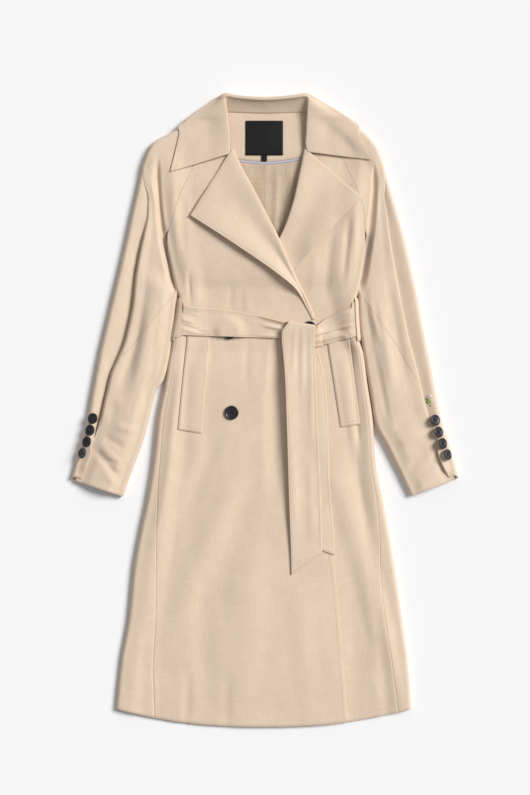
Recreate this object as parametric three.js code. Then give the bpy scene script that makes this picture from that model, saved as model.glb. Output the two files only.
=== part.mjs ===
import * as THREE from 'three';

// A double-breasted trench coat laid out on its back. Millimetres, X across, +Y from hem to collar, +Z up.
const clothThickness = 1.2;
const doubledThickness = 1.6;
const layerStep = 1.9;
const seamGap = 0.6;
const raglanGap = 1.2;
const restHeight = clothThickness / 2;
const beltCentre = doubledThickness / 2;
const hemBottom = -587;
const beltLine = 104;
const armpit = 204;
const armpitTop = 324;
const hemCornerRise = 34;
const hemHalfWidth = 274;
const halfTurn = Math.PI;
const frontButtonRadius = 13;
const cuffButtonRadius = 10.5;
const cuffButtonTilt = 0.06;

function table(columns, rows) {
  return rows.map((row) => Object.fromEntries(columns.map((name, index) => [name, row[index]])));
}

// Smooth reading between the rows of a table, without overshoot.
function read(rows, column, at) {
  const first = rows[0];
  const last = rows[rows.length - 1];
  if (at <= first.at) return first[column];
  if (at >= last.at) return last[column];
  const upper = rows.findIndex((row) => row.at > at);
  const slopeAt = (index) => {
    if (index <= 0 || index >= rows.length - 1) return 0;
    const before = (rows[index][column] - rows[index - 1][column]) / (rows[index].at - rows[index - 1].at);
    const after = (rows[index + 1][column] - rows[index][column]) / (rows[index + 1].at - rows[index].at);
    return before * after > 0 ? (2 * before * after) / (before + after) : 0;
  };
  const endSlope = (index, other) => {
    const chord = (rows[other][column] - rows[index][column]) / (rows[other].at - rows[index].at);
    return index === 0 || index === rows.length - 1 ? chord : slopeAt(index);
  };
  const low = rows[upper - 1];
  const high = rows[upper];
  const span = high.at - low.at;
  const t = (at - low.at) / span;
  const startSlope = endSlope(upper - 1, upper) * span;
  const finishSlope = endSlope(upper, upper - 1) * span;
  const rise = high[column] - low[column];
  return low[column] + t * (startSlope + t * (3 * rise - 2 * startSlope - finishSlope
    + t * (startSlope + finishSlope - 2 * rise)));
}

function smooth(value, from, to) {
  const t = Math.min(1, Math.max(0, (value - from) / (to - from)));
  return t * t * (3 - 2 * t);
}

function mix(from, to, share) {
  return from + (to - from) * share;
}

// Side edges of the body from hem to shoulder. Above the belt they are the armhole folds.
const sides = table(['at', 'left', 'right'], [
  [-587, -274, 273],
  [-490, -265, 266],
  [-396, -250, 255],
  [-302, -241, 242],
  [-226, -228, 230],
  [-169, -216, 220],
  [-94, -204, 206],
  [-18, -196, 201],
  [49, -183, 191],
  [104, -174, 184],
  [133, -168, 175],
  [204, -157, 171],
  [224, -163, 176],
  [270, -173, 184],
  [324, -184, 192],
  [400, -193, 200],
  [500, -198, 208],
]);

// How round the side edge is, how high its lowest point lies and how far inward its height fades out.
const rolls = table(['at', 'radius', 'base', 'fadeLeft', 'fadeRight'], [
  [-587, 5, 0.6, 60, 46],
  [-300, 6.4, 0.6, 62, 44],
  [-60, 7.4, 0.6, 52, 26],
  [104, 7.4, 0.6, 38, 22],
  [128, 7.2, 2.7, 40, 24],
  [206, 7, 2.7, 50, 46],
  [226, 6.4, 3.4, 55, 55],
  [324, 5, 4.4, 60, 60],
  [400, 4.6, 4.2, 60, 60],
  [500, 4, 5, 60, 60],
]);

// Distance of the side seams from the side edges, over the top.
const sideSeams = table(['at', 'left', 'right'], [
  [-587, 71, 24],
  [-396, 49, 31],
  [-300, 41, 26],
  [-222, 28, 16],
  [-111, 12, 9],
  [-37, 10, 8.5],
  [28, 8.5, 8.5],
  [104, 8, 8],
]);

// Half turns of the side seam round the roll from belt to armpit, then of the front's loose edge.
const sideTurns = table(['at', 'back', 'front'], [
  [104, 1, 1],
  [128, 0.92, 0.92],
  [150, 0.66, 0.66],
  [175, 0.34, 0.34],
  [192, 0.14, 0.14],
  [204, 0.1, 0.1],
  [217, 0, 0.42],
  [240, 0, 0.4],
  [270, 0, 0.5],
  [296, 0, 0.72],
  [324, 0, 1],
]);

const backRaglan = table(['at', 'left', 'right'], [
  [204, -151.5, 165.5],
  [217, -152, 166],
  [240, -152.5, 166],
  [300, -148, 160],
  [350, -141, 152],
  [400, -131, 142],
  [450, -118, 129],
  [500, -105, 115],
  [548, -92, 101],
]);

const frontRaglan = table(['at', 'left', 'right'], [
  [324, -179, 187],
  [366, -166.5, 184.5],
  [405, -153, 173],
  [449, -132, 153],
  [487, -117, 135],
  [510, -108, 124],
]);

// Free front edges up to the lapel break, then the roll lines of the lapels.
const frontEdges = table(['at', 'upper', 'lower'], [
  [-587, 155, -151],
  [-453, 144, -140],
  [-358, 137, -133],
  [-271, 127, -123],
  [-100, 115, -111],
  [0, 108, -104],
  [60, 104, -100],
  [150, 97, -93],
  [172, 91.5, -86],
  [261, 49, -13],
  [316, 24, 30],
  [384, -10.5, 57.5],
  [452, -46.5, 72.5],
  [487, -63.5, 80.5],
  [508, -90, 106],
]);

// Height of the back panel: it lies on the floor, and passes over the belt and the collar fall.
const backLevels = table(['at', 'height'], [
  [-587, 0.6],
  [104, 0.6],
  [126, 2.7],
  [206, 2.7],
  [232, 0.6],
  [452, 0.6],
  [486, 2.9],
  [560, 2.9],
]);

// Soft folds of the front panels, as ridges from one point to another.
const frontFolds = table(['fromX', 'fromY', 'toX', 'toY', 'width', 'height'], [
  [-118, 110, -128, -110, 20, 2.2],
  [140, 100, 158, -70, 16, 2.6],
  [-60, -60, -128, -330, 34, 1.6],
  [-92, -240, -100, -500, 30, 1.4],
  [-30, -120, -150, -560, 34, 1.5],
  [176, -260, 236, -540, 26, 3.2],
  [136, 300, 150, 225, 14, 1.6],
  [-120, 300, -136, 215, 14, 1.8],
]);

function foldHeight(folds, x, y) {
  let height = 0;
  for (const fold of folds) {
    const runX = fold.toX - fold.fromX;
    const runY = fold.toY - fold.fromY;
    const length = Math.hypot(runX, runY);
    const along = ((x - fold.fromX) * runX + (y - fold.fromY) * runY) / (length * length);
    const across = Math.abs((x - fold.fromX) * runY - (y - fold.fromY) * runX) / length;
    const taper = smooth(along, -0.12, 0.3) * (1 - smooth(along, 0.7, 1.12));
    height += fold.height * taper * (1 - smooth(across, 0, fold.width));
  }
  return height;
}

function edgeX(side, y) {
  return read(sides, side < 0 ? 'left' : 'right', y);
}

// The hem is lowest in the middle; rows near it bend with it.
function bentY(x, y) {
  const share = y < 0 ? (y / hemBottom) ** 2 : 0;
  return y + hemCornerRise * Math.abs(x / hemHalfWidth) ** 2.4 * share;
}

function lyingLevel(upper, y) {
  const overLining = layerStep * smooth(y, 215, 250);
  const overFront = upper ? layerStep * (1 + smooth(y, 128, 158) - 2 * smooth(y, 322, 372)) : 0;
  return read(backLevels, 'height', y) + layerStep + overLining + overFront;
}

function frontHeight(side, x, y) {
  const radius = read(rolls, 'radius', y);
  const crest = read(rolls, 'base', y) + 2 * radius;
  const fade = read(rolls, side < 0 ? 'fadeLeft' : 'fadeRight', y);
  const inward = (edgeX(side, y) - x) * side - radius;
  const level = lyingLevel(side < 0, y);
  const folds = foldHeight(frontFolds, x, bentY(x, y)) * smooth(inward, 0, 16);
  const upperEdge = read(frontEdges, 'upper', y);
  const uncovered = side < 0 ? 1 : smooth(x, upperEdge + 4, upperEdge + 26);
  return level + (crest - level) * (1 - smooth(inward, 0, fade)) + folds * uncovered;
}

// A point on the side of the body: travel starts at the floor, goes round the roll and on over the top.
function sidePoint(side, y, travel) {
  const radius = read(rolls, 'radius', y);
  const base = read(rolls, 'base', y);
  const edge = edgeX(side, y);
  if (travel < halfTurn * radius) {
    const angle = travel / radius;
    const x = edge - side * radius * (1 - Math.sin(angle));
    return new THREE.Vector3(x, bentY(x, y), base + radius * (1 - Math.cos(angle)));
  }
  const x = edge - side * (radius + travel - halfTurn * radius);
  return new THREE.Vector3(x, bentY(x, y), frontHeight(side, x, y));
}

function seamTravel(side, y, column) {
  const radius = read(rolls, 'radius', y);
  const name = side < 0 ? 'left' : 'right';
  if (y <= beltLine) return halfTurn * radius + read(sideSeams, name, y) - radius;
  if (y <= armpitTop) return Math.max(halfTurn * radius * read(sideTurns, column, y), 0.01);
  return halfTurn * radius + (edgeX(side, y) - read(frontRaglan, name, y)) * side - radius;
}

// Thin closed wall on both sides of a grid of points.
function wallGeometry(rows, thickness) {
  const rowCount = rows.length;
  const columnCount = rows[0].length;
  const positions = [];
  const pointAt = (row, column) => (rows[row] ? rows[row][column] : undefined);
  const offset = (row, column, sign) => {
    const point = rows[row][column];
    const normal = new THREE.Vector3();
    for (const [stepRow, stepColumn] of [[0, 1], [1, 0], [0, -1], [-1, 0]]) {
      const one = pointAt(row + stepRow, column + stepColumn);
      const other = pointAt(row + stepColumn, column - stepRow);
      if (one && other) normal.add(one.clone().sub(point).cross(other.clone().sub(point)).normalize());
    }
    return point.clone().addScaledVector(normal.normalize(), (sign * thickness) / 2);
  };
  for (const sign of [1, -1]) {
    rows.forEach((points, row) => {
      points.forEach((point, column) => positions.push(...offset(row, column, sign).toArray()));
    });
  }
  const lower = rowCount * columnCount;
  const at = (row, column) => row * columnCount + column;
  const index = [];
  const quad = (a, b, c, d) => index.push(a, b, c, a, c, d);
  for (let row = 0; row < rowCount - 1; row += 1) {
    for (let column = 0; column < columnCount - 1; column += 1) {
      const here = at(row, column);
      const above = at(row + 1, column);
      quad(here, here + 1, above + 1, above);
      quad(above + 1 + lower, here + 1 + lower, here + lower, above + lower);
    }
  }
  const rim = [];
  for (let column = 0; column < columnCount - 1; column += 1) rim.push(at(0, column));
  for (let row = 0; row < rowCount - 1; row += 1) rim.push(at(row, columnCount - 1));
  for (let column = columnCount - 1; column > 0; column -= 1) rim.push(at(rowCount - 1, column));
  for (let row = rowCount - 1; row > 0; row -= 1) rim.push(at(row, 0));
  rim.forEach((corner, step) => {
    const next = rim[(step + 1) % rim.length];
    quad(next, corner, corner + lower, next + lower);
  });
  const geometry = new THREE.BufferGeometry();
  geometry.setAttribute('position', new THREE.Float32BufferAttribute(positions, 3));
  geometry.setIndex(index);
  geometry.computeVertexNormals();
  return geometry;
}

// Highest point of the given surfaces over or near a place, looked for in a small cross.
function restingHeight(surfaces, x, y, reach) {
  let highest = -Infinity;
  for (const [stepX, stepY] of [[0, 0], [reach, 0], [-reach, 0], [0, reach], [0, -reach]]) {
    for (const rows of surfaces) highest = Math.max(highest, heightOn(rows, x + stepX, y + stepY));
  }
  return highest;
}

function heightOn(rows, x, y) {
  let highest = -Infinity;
  for (let row = 0; row < rows.length - 1; row += 1) {
    for (let column = 0; column < rows[0].length - 1; column += 1) {
      const a = rows[row][column];
      const b = rows[row][column + 1];
      const c = rows[row + 1][column + 1];
      const d = rows[row + 1][column];
      if (Math.min(a.x, b.x, c.x, d.x) > x || Math.max(a.x, b.x, c.x, d.x) < x) continue;
      if (Math.min(a.y, b.y, c.y, d.y) > y || Math.max(a.y, b.y, c.y, d.y) < y) continue;
      highest = Math.max(highest, triangleHeight(a, b, c, x, y), triangleHeight(a, c, d, x, y));
    }
  }
  return highest;
}

function triangleHeight(a, b, c, x, y) {
  const area = (b.x - a.x) * (c.y - a.y) - (c.x - a.x) * (b.y - a.y);
  if (Math.abs(area) < 1e-6) return -Infinity;
  const shareB = ((x - a.x) * (c.y - a.y) - (c.x - a.x) * (y - a.y)) / area;
  const shareC = ((b.x - a.x) * (y - a.y) - (x - a.x) * (b.y - a.y)) / area;
  if (shareB < -1e-6 || shareC < -1e-6 || shareB + shareC > 1 + 1e-6) return -Infinity;
  return a.z + shareB * (b.z - a.z) + shareC * (c.z - a.z);
}

const bodyRows = [-587, -545, -470, -385, -300, -215, -140, -75, -20, 40, 90, 118, 136, 150, 172, 190, 204];
const chestRows = [217, 240, 265, 290, 312, 324, 350, 385, 420, 455, 487, 508];
const backTopRows = [217, 245, 290, 340, 390, 440, 470, 490, 520, 547];
const backSideShares = [0, 0.16, 0.32, 0.46, 0.58, 0.69, 0.8, 0.9, 1];
const backFloorShares = [0.14, 0.32, 0.5, 0.68, 0.86];
const frontShares = [
  0, 0.015, 0.035, 0.06, 0.09, 0.125, 0.17, 0.23, 0.3, 0.39, 0.49, 0.59, 0.69, 0.79, 0.88, 0.95, 1,
];

function backSurface() {
  const floorReach = 9;
  const raglanReach = 14;
  return [...bodyRows, ...backTopRows].map((y) => {
    const height = read(backLevels, 'height', y);
    const halves = [-1, 1].map((side) => {
      if (y > armpit) {
        const seamX = read(backRaglan, side < 0 ? 'left' : 'right', y);
        const inward = -side * raglanReach;
        return backSideShares.map((share) => new THREE.Vector3(seamX + inward * (1 - share), y, height));
      }
      const travel = seamTravel(side, y, 'back') - seamGap / 2;
      return backSideShares.map((share) => {
        const reached = mix(-floorReach, travel, share);
        if (reached > 0) return sidePoint(side, y, reached);
        const x = edgeX(side, y) - side * (read(rolls, 'radius', y) - reached);
        return new THREE.Vector3(x, bentY(x, y), height);
      });
    });
    const start = halves[0][0];
    const finish = halves[1][0];
    const floor = backFloorShares.map((share) => {
      const x = mix(start.x, finish.x, share);
      return new THREE.Vector3(x, bentY(x, y), height);
    });
    return [...halves[0].reverse(), ...floor, ...halves[1]];
  });
}

function frontSurface(side) {
  return [...bodyRows, ...chestRows].map((y) => {
    const radius = read(rolls, 'radius', y);
    const start = seamTravel(side, y, 'front') + seamGap / 2;
    const edge = read(frontEdges, side < 0 ? 'upper' : 'lower', y);
    const finish = halfTurn * radius - radius + (edgeX(side, y) - edge) * side;
    return frontShares.map((share) => sidePoint(side, y, mix(start, finish, share)));
  });
}

// Sleeve sections from neck to cuff: outer edge, fold of the front over the back, inner end.
// An inner or back end at x 0 lies on its raglan seam. Below the armpit both ends are a rounded free edge.
// over: 1 where the back panel lies over the front one, -1 where it lies under it, 0 where they meet.
const sleeveColumns = [
  'outerX', 'outerY', 'foldX', 'foldY', 'innerX', 'innerY', 'backX', 'backY', 'over', 'radius', 'crown',
];
const rightSleeveSections = table(sleeveColumns, [
  [-92, 567, -94.5, 557, 0, 509, 0, 547, -1, 4.4, 12],
  [-126, 543, -125, 533.5, 0, 477, 0, 497, -1, 4.8, 12.6],
  [-151.5, 523.5, -149.2, 514, 0, 447.7, 0, 450, -1, 5.2, 13],
  [-180, 508, -176.5, 498.5, 0, 418, 0, 400, -1, 5.6, 13.4],
  [-204, 494, -200, 484.5, 0, 388.5, 0, 360, -1, 6, 14],
  [-224, 453, -218, 442, 0, 351.5, 0, 325, -1, 6.4, 14.4],
  [-233, 413, -212, 396, 0, 334, 0, 295, -1, 6.5, 14.6],
  [-236, 399, -213, 378, -182, 322, 0, 283, -1, 6.5, 14.6],
  [-239.5, 385, -214, 361, -174, 296, 0, 270, -1, 6.6, 14.6],
  [-257, 305, -230, 285, -161, 238, 0, 232, -1, 6.8, 14.6],
  [-267, 262, -237, 242, -167, 208, -167, 208, -1, 6.8, 14.8],
  [-277.5, 218, -241, 199, -170, 166, -170, 166, -1, 7, 15],
  [-294, 148, -257, 125, -179, 92, -179, 92, -1, 7, 15],
  [-303, 110, -270, 93, -187, 54, -187, 54, -1, 7, 15],
  [-309, 79.6, -280.5, 70, -199, 37, -199, 37, -1, 7, 15],
  [-317, 37, -291, 28, -209, 1, -209, 1, -1, 7, 15],
  [-329, -27.8, -306, -34, -223.9, -57.4, -223.9, -57.4, 0, 7, 14.8],
  [-336, -55, -317, -61, -235, -87, -235, -87, 0.5, 6.8, 14.4],
  [-344, -83, -329, -88, -246, -116.6, -246, -116.6, 1, 6.6, 14],
  [-356.7, -128.4, -346, -132, -261.2, -160, -261.2, -160, 1, 6, 12.6],
]);
const leftSleeveSections = table(sleeveColumns, [
  [100, 568, 103.7, 558.7, 0, 511, 0, 547, -1, 4.4, 12],
  [134.5, 547, 134.8, 537, 0, 482, 0, 497, -1, 4.8, 12.6],
  [163, 527.5, 161.3, 518, 0, 452, 0, 450, -1, 5.2, 13],
  [188, 510, 185.4, 500, 0, 425, 0, 400, -1, 5.6, 13.4],
  [207, 487, 203.9, 477.5, 0, 395, 0, 360, -1, 6, 14],
  [223, 446, 217.5, 435, 0, 357, 0, 325, -1, 6.4, 14.4],
  [232, 415, 221, 402, 0, 334, 0, 295, -1, 6.5, 14.6],
  [236.5, 400, 223, 386, 190, 322, 0, 283, -1, 6.5, 14.6],
  [241, 385, 226, 369, 184, 297, 0, 270, -1, 6.6, 14.6],
  [259, 319, 236, 300, 172, 238, 0, 236, -1, 6.8, 14.6],
  [271, 268, 245, 250, 180, 210, 180, 210, -1, 6.8, 14.8],
  [281, 222, 253, 207, 180.5, 166, 180.5, 166, -1, 7, 15],
  [295, 148, 268, 132, 189.5, 92, 189.5, 92, -1, 7, 15],
  [309, 80, 285, 68, 197.5, 30, 197.5, 30, -1, 7, 15],
  [318, 30, 296, 19, 207, -27, 207, -27, -1, 7, 15],
  [329, -20, 309, -28, 226, -64, 226, -64, 0, 7, 14.8],
  [338, -50, 321, -58, 238, -88, 238, -88, 0.5, 6.8, 14.4],
  [347, -78, 331, -86, 251, -114, 251, -114, 1, 6.6, 14],
  [360, -126, 350, -129, 272, -159, 272, -159, 1, 6, 12.6],
]);
const stripOverlap = 7;
const floorShares = [0, 0.3, 0.58, 0.8, 0.94];
const turnShares = [0.1, 0.3, 0.5, 0.7, 0.9];
const topShares = [0, 0.5, 1];
const sleeveFrontShares = [
  0, 0.03, 0.07, 0.13, 0.21, 0.3, 0.4, 0.5, 0.6, 0.69, 0.77, 0.83, 0.88, 0.92, 0.96, 1,
];

function sleeveEnds(side, section) {
  const column = side < 0 ? 'left' : 'right';
  const free = section.backX !== 0;
  const innerX = section.innerX || read(frontRaglan, column, section.innerY) + side * raglanGap;
  const backX = section.backX || read(backRaglan, column, section.backY) + side * raglanGap;
  return { free, innerX, backX };
}

function sleeveFloor(y) {
  return restHeight + 2.3 * smooth(y, 452, 486);
}

function sleeveBackSurface(side, sections) {
  return sections.map((section) => {
    const ends = sleeveEnds(side, section);
    const floor = sleeveFloor(section.outerY);
    const radius = section.radius;
    const inward = new THREE.Vector2(section.foldX - section.outerX, section.foldY - section.outerY);
    const foldReach = inward.length();
    inward.normalize();
    const overlap = section.over < 0 || section.over === 1 ? stripOverlap : -0.7;
    const lowTop = section.over <= 0 ? 3 : 0.4;
    const back = new THREE.Vector2(ends.backX - section.outerX, section.backY - section.outerY);
    const backReach = back.length() - (ends.free ? radius : 0);
    back.normalize();
    const topRun = Math.max(foldReach + overlap - radius, 2);
    const along = (directionX, directionY, reach, height) => new THREE.Vector3(
      section.outerX + directionX * reach,
      section.outerY + directionY * reach,
      height,
    );
    const onFloor = (share) => along(back.x, back.y, mix(backReach, radius, share), floor);
    const roundEdge = (share) => {
      const blend = smooth(share, 0, 1);
      const reach = radius * (1 - Math.sin(share * halfTurn));
      const height = floor + radius * (1 - Math.cos(share * halfTurn));
      return along(mix(back.x, inward.x, blend), mix(back.y, inward.y, blend), reach, height);
    };
    const onTop = (share) => {
      const reach = radius + share * topRun;
      const drop = lowTop * smooth(reach, radius, Math.max(foldReach, radius + 2));
      return along(inward.x, inward.y, reach, floor + 2 * radius - drop);
    };
    return [...floorShares.map(onFloor), ...turnShares.map(roundEdge), ...topShares.map(onTop)];
  });
}

// Height of the sleeve front beside and over the armhole fold of the body.
function sleeveHeadHeight(side, x, y, crown) {
  const radius = read(rolls, 'radius', y);
  const inward = (edgeX(side, y) - x) * side;
  const level = lyingLevel(side < 0, y);
  const crest = read(rolls, 'base', y) + 2 * radius;
  const fade = read(rolls, side < 0 ? 'fadeLeft' : 'fadeRight', y);
  const shown = smooth(y, 308, 338);
  const trough = mix(4, 7, shown) + sleeveFloor(y) - restHeight;
  if (inward < 0) return mix(trough, crown, smooth(-inward, 2, 15));
  const ridge = inward < radius
    ? mix(trough, crest, Math.sin((inward / radius) * (halfTurn / 2)))
    : level + (crest - level) * (1 - smooth(inward - radius, 0, fade));
  return mix(Math.min(trough, 4), ridge, shown);
}

function sleeveFrontSurface(side, sections) {
  return sections.map((section) => {
    const ends = sleeveEnds(side, section);
    const floor = sleeveFloor(section.outerY);
    const radius = section.radius;
    const start = new THREE.Vector2(section.foldX, section.foldY);
    const run = new THREE.Vector2(ends.innerX - section.foldX, section.innerY - section.foldY);
    const toFold = Math.hypot(section.foldX - section.outerX, section.foldY - section.outerY);
    const length = run.length();
    run.normalize();
    const startShift = section.over < 0 ? 0 : section.over < 1 ? 0.7 : -Math.min(2, toFold - radius - 2);
    const startHeight = floor + 2 * radius + (section.over <= 0 ? -0.5 : -2.4);
    const turned = ends.free ? 0.86 * halfTurn : 0;
    const flat = length - (ends.free ? radius : 0) - startShift;
    const total = flat + turned * radius;
    return sleeveFrontShares.map((share) => {
      const travel = share * total;
      if (travel <= flat || !ends.free) {
        const reach = startShift + travel;
        const x = start.x + run.x * reach;
        const y = start.y + run.y * reach;
        const rise = section.over > 0.5 ? smooth(travel, 11, 27) : smooth(travel, 0, 16);
        const crown = section.crown + sleeveFloor(y) - restHeight;
        const freeTop = mix(crown, floor + 2 * radius, smooth(travel, flat * 0.6, flat));
        const top = ends.free ? freeTop : sleeveHeadHeight(side, x, y, crown);
        return new THREE.Vector3(x, y, mix(startHeight, top, ends.free ? rise : smooth(travel, 8, 34)));
      }
      const angle = (travel - flat) / radius;
      const reach = startShift + flat + radius * Math.sin(angle);
      const height = floor + radius * (1 + Math.cos(angle));
      return new THREE.Vector3(start.x + run.x * reach, start.y + run.y * reach, height);
    });
  });
}

// Depth of a lapel's roll: it is pressed flat towards its break and, on the under side, below the crossing.
function lapelRoll(side, y) {
  return side < 0 ? mix(1.2, 2.8, smooth(y, 180, 320)) : mix(0.95, 2.7, smooth(y, 324, 380));
}

// Outer edges of the lapels from the tip to the break.
const lapelColumns = ['at', 'x', 'y'];
const rightLapelEdge = table(lapelColumns, [
  [0, -136, 360],
  [0.26, -65, 314],
  [0.6, 30, 248],
  [0.76, 61, 221],
  [1, 86, 178],
]);
const leftLapelEdge = table(lapelColumns, [
  [0, 179, 394],
  [0.25, 122, 333],
  [0.46, 72, 278],
  [0.54, 54, 259],
  [0.78, -10, 208],
  [1, -78, 176],
]);
const lapelRows = [482, 455, 420, 385, 350, 324, 312, 290, 265, 240, 217, 204, 190, 179];
const lapelShares = [0.05, 0.13, 0.24, 0.38, 0.54, 0.7, 0.85, 1];
const lapelTop = 482;
const lapelBreak = 172;
const lapelLift = 8;

function lapelSurface(side, edge, under) {
  const column = side < 0 ? 'upper' : 'lower';
  return lapelRows.map((y) => {
    const row = (lapelTop - y) / (lapelTop - lapelBreak);
    const x = read(frontEdges, column, y);
    const slope = (read(frontEdges, column, y + 4) - read(frontEdges, column, y - 4)) / 8;
    const outward = new THREE.Vector2(-side, side * slope).normalize();
    const radius = lapelRoll(side, y);
    const frontLevel = frontHeight(side, x, y);
    const points = [-0.5, -0.2, 0.1, 0.35].map((turn) => {
      const out = 0.8 + radius * Math.cos(turn * halfTurn);
      const height = frontLevel + radius + radius * Math.sin(turn * halfTurn);
      return new THREE.Vector3(x + outward.x * out, y + outward.y * out, height);
    });
    for (const share of lapelShares) {
      const placeX = mix(x, read(edge, 'x', row), share);
      const placeY = mix(y, read(edge, 'y', row), share);
      const frontEdge = read(frontEdges, 'upper', placeY);
      const shown = side < 0 ? 1 : smooth(placeX, frontEdge + 10, frontEdge + 60);
      const support = restingHeight(under, placeX, placeY, 3);
      const loft = Math.max(2 * radius - layerStep, 0) * (1 - smooth(share, 0, 0.45));
      const open = smooth(row, 0.02, 0.3) * (1 - smooth(row, 0.55, 0.9));
      const lift = lapelLift * shown * smooth(share, 0.35, 1) * open;
      const height = Math.max(support, frontLevel) + layerStep + loft + lift;
      points.push(new THREE.Vector3(placeX, placeY, height));
    }
    return points;
  });
}

// Collar fall from the tip of one wing round the back to the other: the roll line, the place where
// the cloth turns over the shoulder, and the outer edge. Foldless sections lie wholly on top.
const collarColumns = ['rollX', 'rollY', 'rollZ', 'foldX', 'foldY', 'outX', 'outY', 'turns'];
const collarSections = table(collarColumns, [
  [-66, 474, 14, -120, 457, -173, 441, 0],
  [-66, 488, 15, -118, 474, -169, 458, 0],
  [-66, 512, 16.5, -116, 496, -163, 482, 0],
  [-69, 536, 18, -112, 522, -157, 508, 0],
  [-70, 550, 19.5, -152, 532, -152, 532, 0.2],
  [-71, 557, 20, -145, 537.5, -150, 527, 1],
  [-72, 563, 20.6, -134, 546, -143, 519, 1],
  [-73, 568, 21, -120, 556, -134, 512, 1],
  [-74, 573, 21.6, -106, 565.5, -123, 506, 1],
  [-74, 577, 22, -88, 577.5, -110, 500, 1],
  [-66, 580, 22.4, -70, 586, -78, 496, 1],
  [-44, 577, 22, -44, 581, -46, 493, 1],
  [2, 574, 21.6, 2, 578.5, 2, 491, 1],
  [48, 577, 22, 48, 581.5, 50, 493, 1],
  [74, 580, 22.4, 78, 586, 86, 496, 1],
  [82, 577, 22, 96, 577.5, 118, 500, 1],
  [83, 573, 21.6, 115, 566.5, 132, 506, 1],
  [83, 568, 21, 131, 557.5, 146, 513, 1],
  [83, 563, 20.6, 146, 548, 156, 520, 1],
  [82, 557, 20, 159, 540, 165, 529, 1],
  [82, 550, 19.5, 168, 534, 168, 534, 0.2],
  [81, 534, 18, 130, 520, 176, 507, 0],
  [80, 510, 16.5, 134, 498, 185, 486, 0],
  [79, 492, 15, 138, 482, 193, 472, 0],
  [82, 478, 14, 141, 471, 198, 463, 0],
]);
const wingShares = [0, 0.06, 0.2, 0.36, 0.52, 0.68, 0.84, 1];
const edgeShares = [0.25, 0.5, 0.75, 1];
const edgeStrip = 26;
const foldTop = 15.6;
const wingRest = 11;
const turnPart = 0.75;

function collarSurface(under) {
  return collarSections.map((section) => {
    const roll = new THREE.Vector2(section.rollX, section.rollY);
    const fold = new THREE.Vector2(section.foldX, section.foldY);
    const out = new THREE.Vector2(section.outX, section.outY);
    const turnEnd = section.turns * halfTurn;
    const target = section.turns ? fold : out;
    const topRun = target.distanceTo(roll);
    const forward = target.clone().sub(roll).normalize();
    const high = Math.max(foldTop, mix(section.rollZ, foldTop, smooth(topRun, 4, 26)));
    const rest = section.turns ? high : wingRest;
    const radius = (high - beltCentre) / 2;
    const swing = section.turns ? Math.min(radius, Math.max(topRun - 2, 2)) : 0;
    const backward = section.turns === 1 ? out.clone().sub(fold).normalize() : forward.clone().negate();
    const flat = Math.max(topRun - (section.turns ? swing : edgeStrip), 0);
    const below = section.turns === 1 ? Math.max(out.distanceTo(fold) - swing, 1) : 0;
    const onTop = (travel) => {
      const x = roll.x + forward.x * travel;
      const y = roll.y + forward.y * travel;
      const support = restingHeight(under, x, y, 4);
      const lying = (Number.isFinite(support) ? support : lyingLevel(false, y)) + layerStep + 0.9;
      const fallen = smooth(travel / Math.max(topRun - swing, 1), 0, section.turns ? 1 : 0.42);
      return new THREE.Vector3(x, y, Math.max(lying, mix(section.rollZ, rest, fallen)));
    };
    const pastFold = (travel) => {
      const turned = Math.min(travel / radius, turnEnd);
      const blend = smooth(turned, 0, halfTurn);
      const shift = swing * (1 - Math.sin(turned)) + Math.max(travel - radius * turned, 0);
      const alongX = mix(-forward.x, backward.x, blend);
      const alongY = mix(-forward.y, backward.y, blend);
      return new THREE.Vector3(fold.x + alongX * shift, fold.y + alongY * shift,
        beltCentre + radius * (1 + Math.cos(turned)));
    };
    const turnRun = radius * turnEnd;
    return [
      ...wingShares.map((share) => onTop(share * flat)),
      ...edgeShares.map((share) => {
        if (!section.turns) return onTop(flat + share * edgeStrip);
        return pastFold(Math.min(share / (below ? turnPart : 1), 1) * turnRun + (share === 1 ? below : 0));
      }),
    ];
  });
}

// Inner band of the collar, from the neck seam up to the roll.
const standSections = table(['lowX', 'lowY', 'lowZ', 'highX', 'highY', 'highZ'], [
  [-80, 522, 9.2, -70.5, 520.5, 14.6],
  [-80, 537, 8.6, -72, 540.5, 16.3],
  [-78, 548, 7.4, -72, 557, 18.4],
  [-70, 553, 6.4, -68, 575.8, 20.1],
  [-44, 552, 6, -44, 574.2, 20.1],
  [2, 550.5, 6, 2, 571.6, 19.7],
  [48, 552, 6, 48, 574.2, 20.1],
  [78, 553, 6.4, 76, 575.8, 20.1],
  [86, 548, 7.4, 81, 557, 18.4],
  [89, 537, 8.6, 82, 539.5, 16.3],
  [89, 522, 9.2, 80, 519.5, 14.6],
]);

function standSurface() {
  return standSections.map((section) => [0, 0.35, 0.7, 1].map((share) => new THREE.Vector3(
    mix(section.lowX, section.highX, share),
    mix(section.lowY, section.highY, share),
    mix(section.lowZ, section.highZ, share) - 1.6 * Math.sin(share * halfTurn),
  )));
}

// Pieces that lie in the neck opening on the back panel: y of each row with its left and right end.
const facingRows = table(['at', 'left', 'right', 'sag'], [
  [470, -86, 94, 9],
  [488, -87, 95, 5],
  [510, -84, 92, 2],
  [530, -78, 86, 0],
  [546.5, -72, 81, 0],
]);
const bindingRows = table(['at', 'left', 'right', 'sag'], [
  [465.4, -86, 94, 9],
  [469.1, -86, 94, 9],
]);
const liningRows = table(['at', 'left', 'right', 'sag'], [
  [257, -30, 40, 0],
  [290, -40, 52, 0],
  [330, -56, 66, 0],
  [370, -70, 78, 0],
  [410, -82, 88, 3],
  [440, -86, 94, 7],
  [464.5, -86, 94, 9],
]);

const neckCentre = 2;
const sagWidth = 70;
const pleatWidth = 9;

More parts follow.
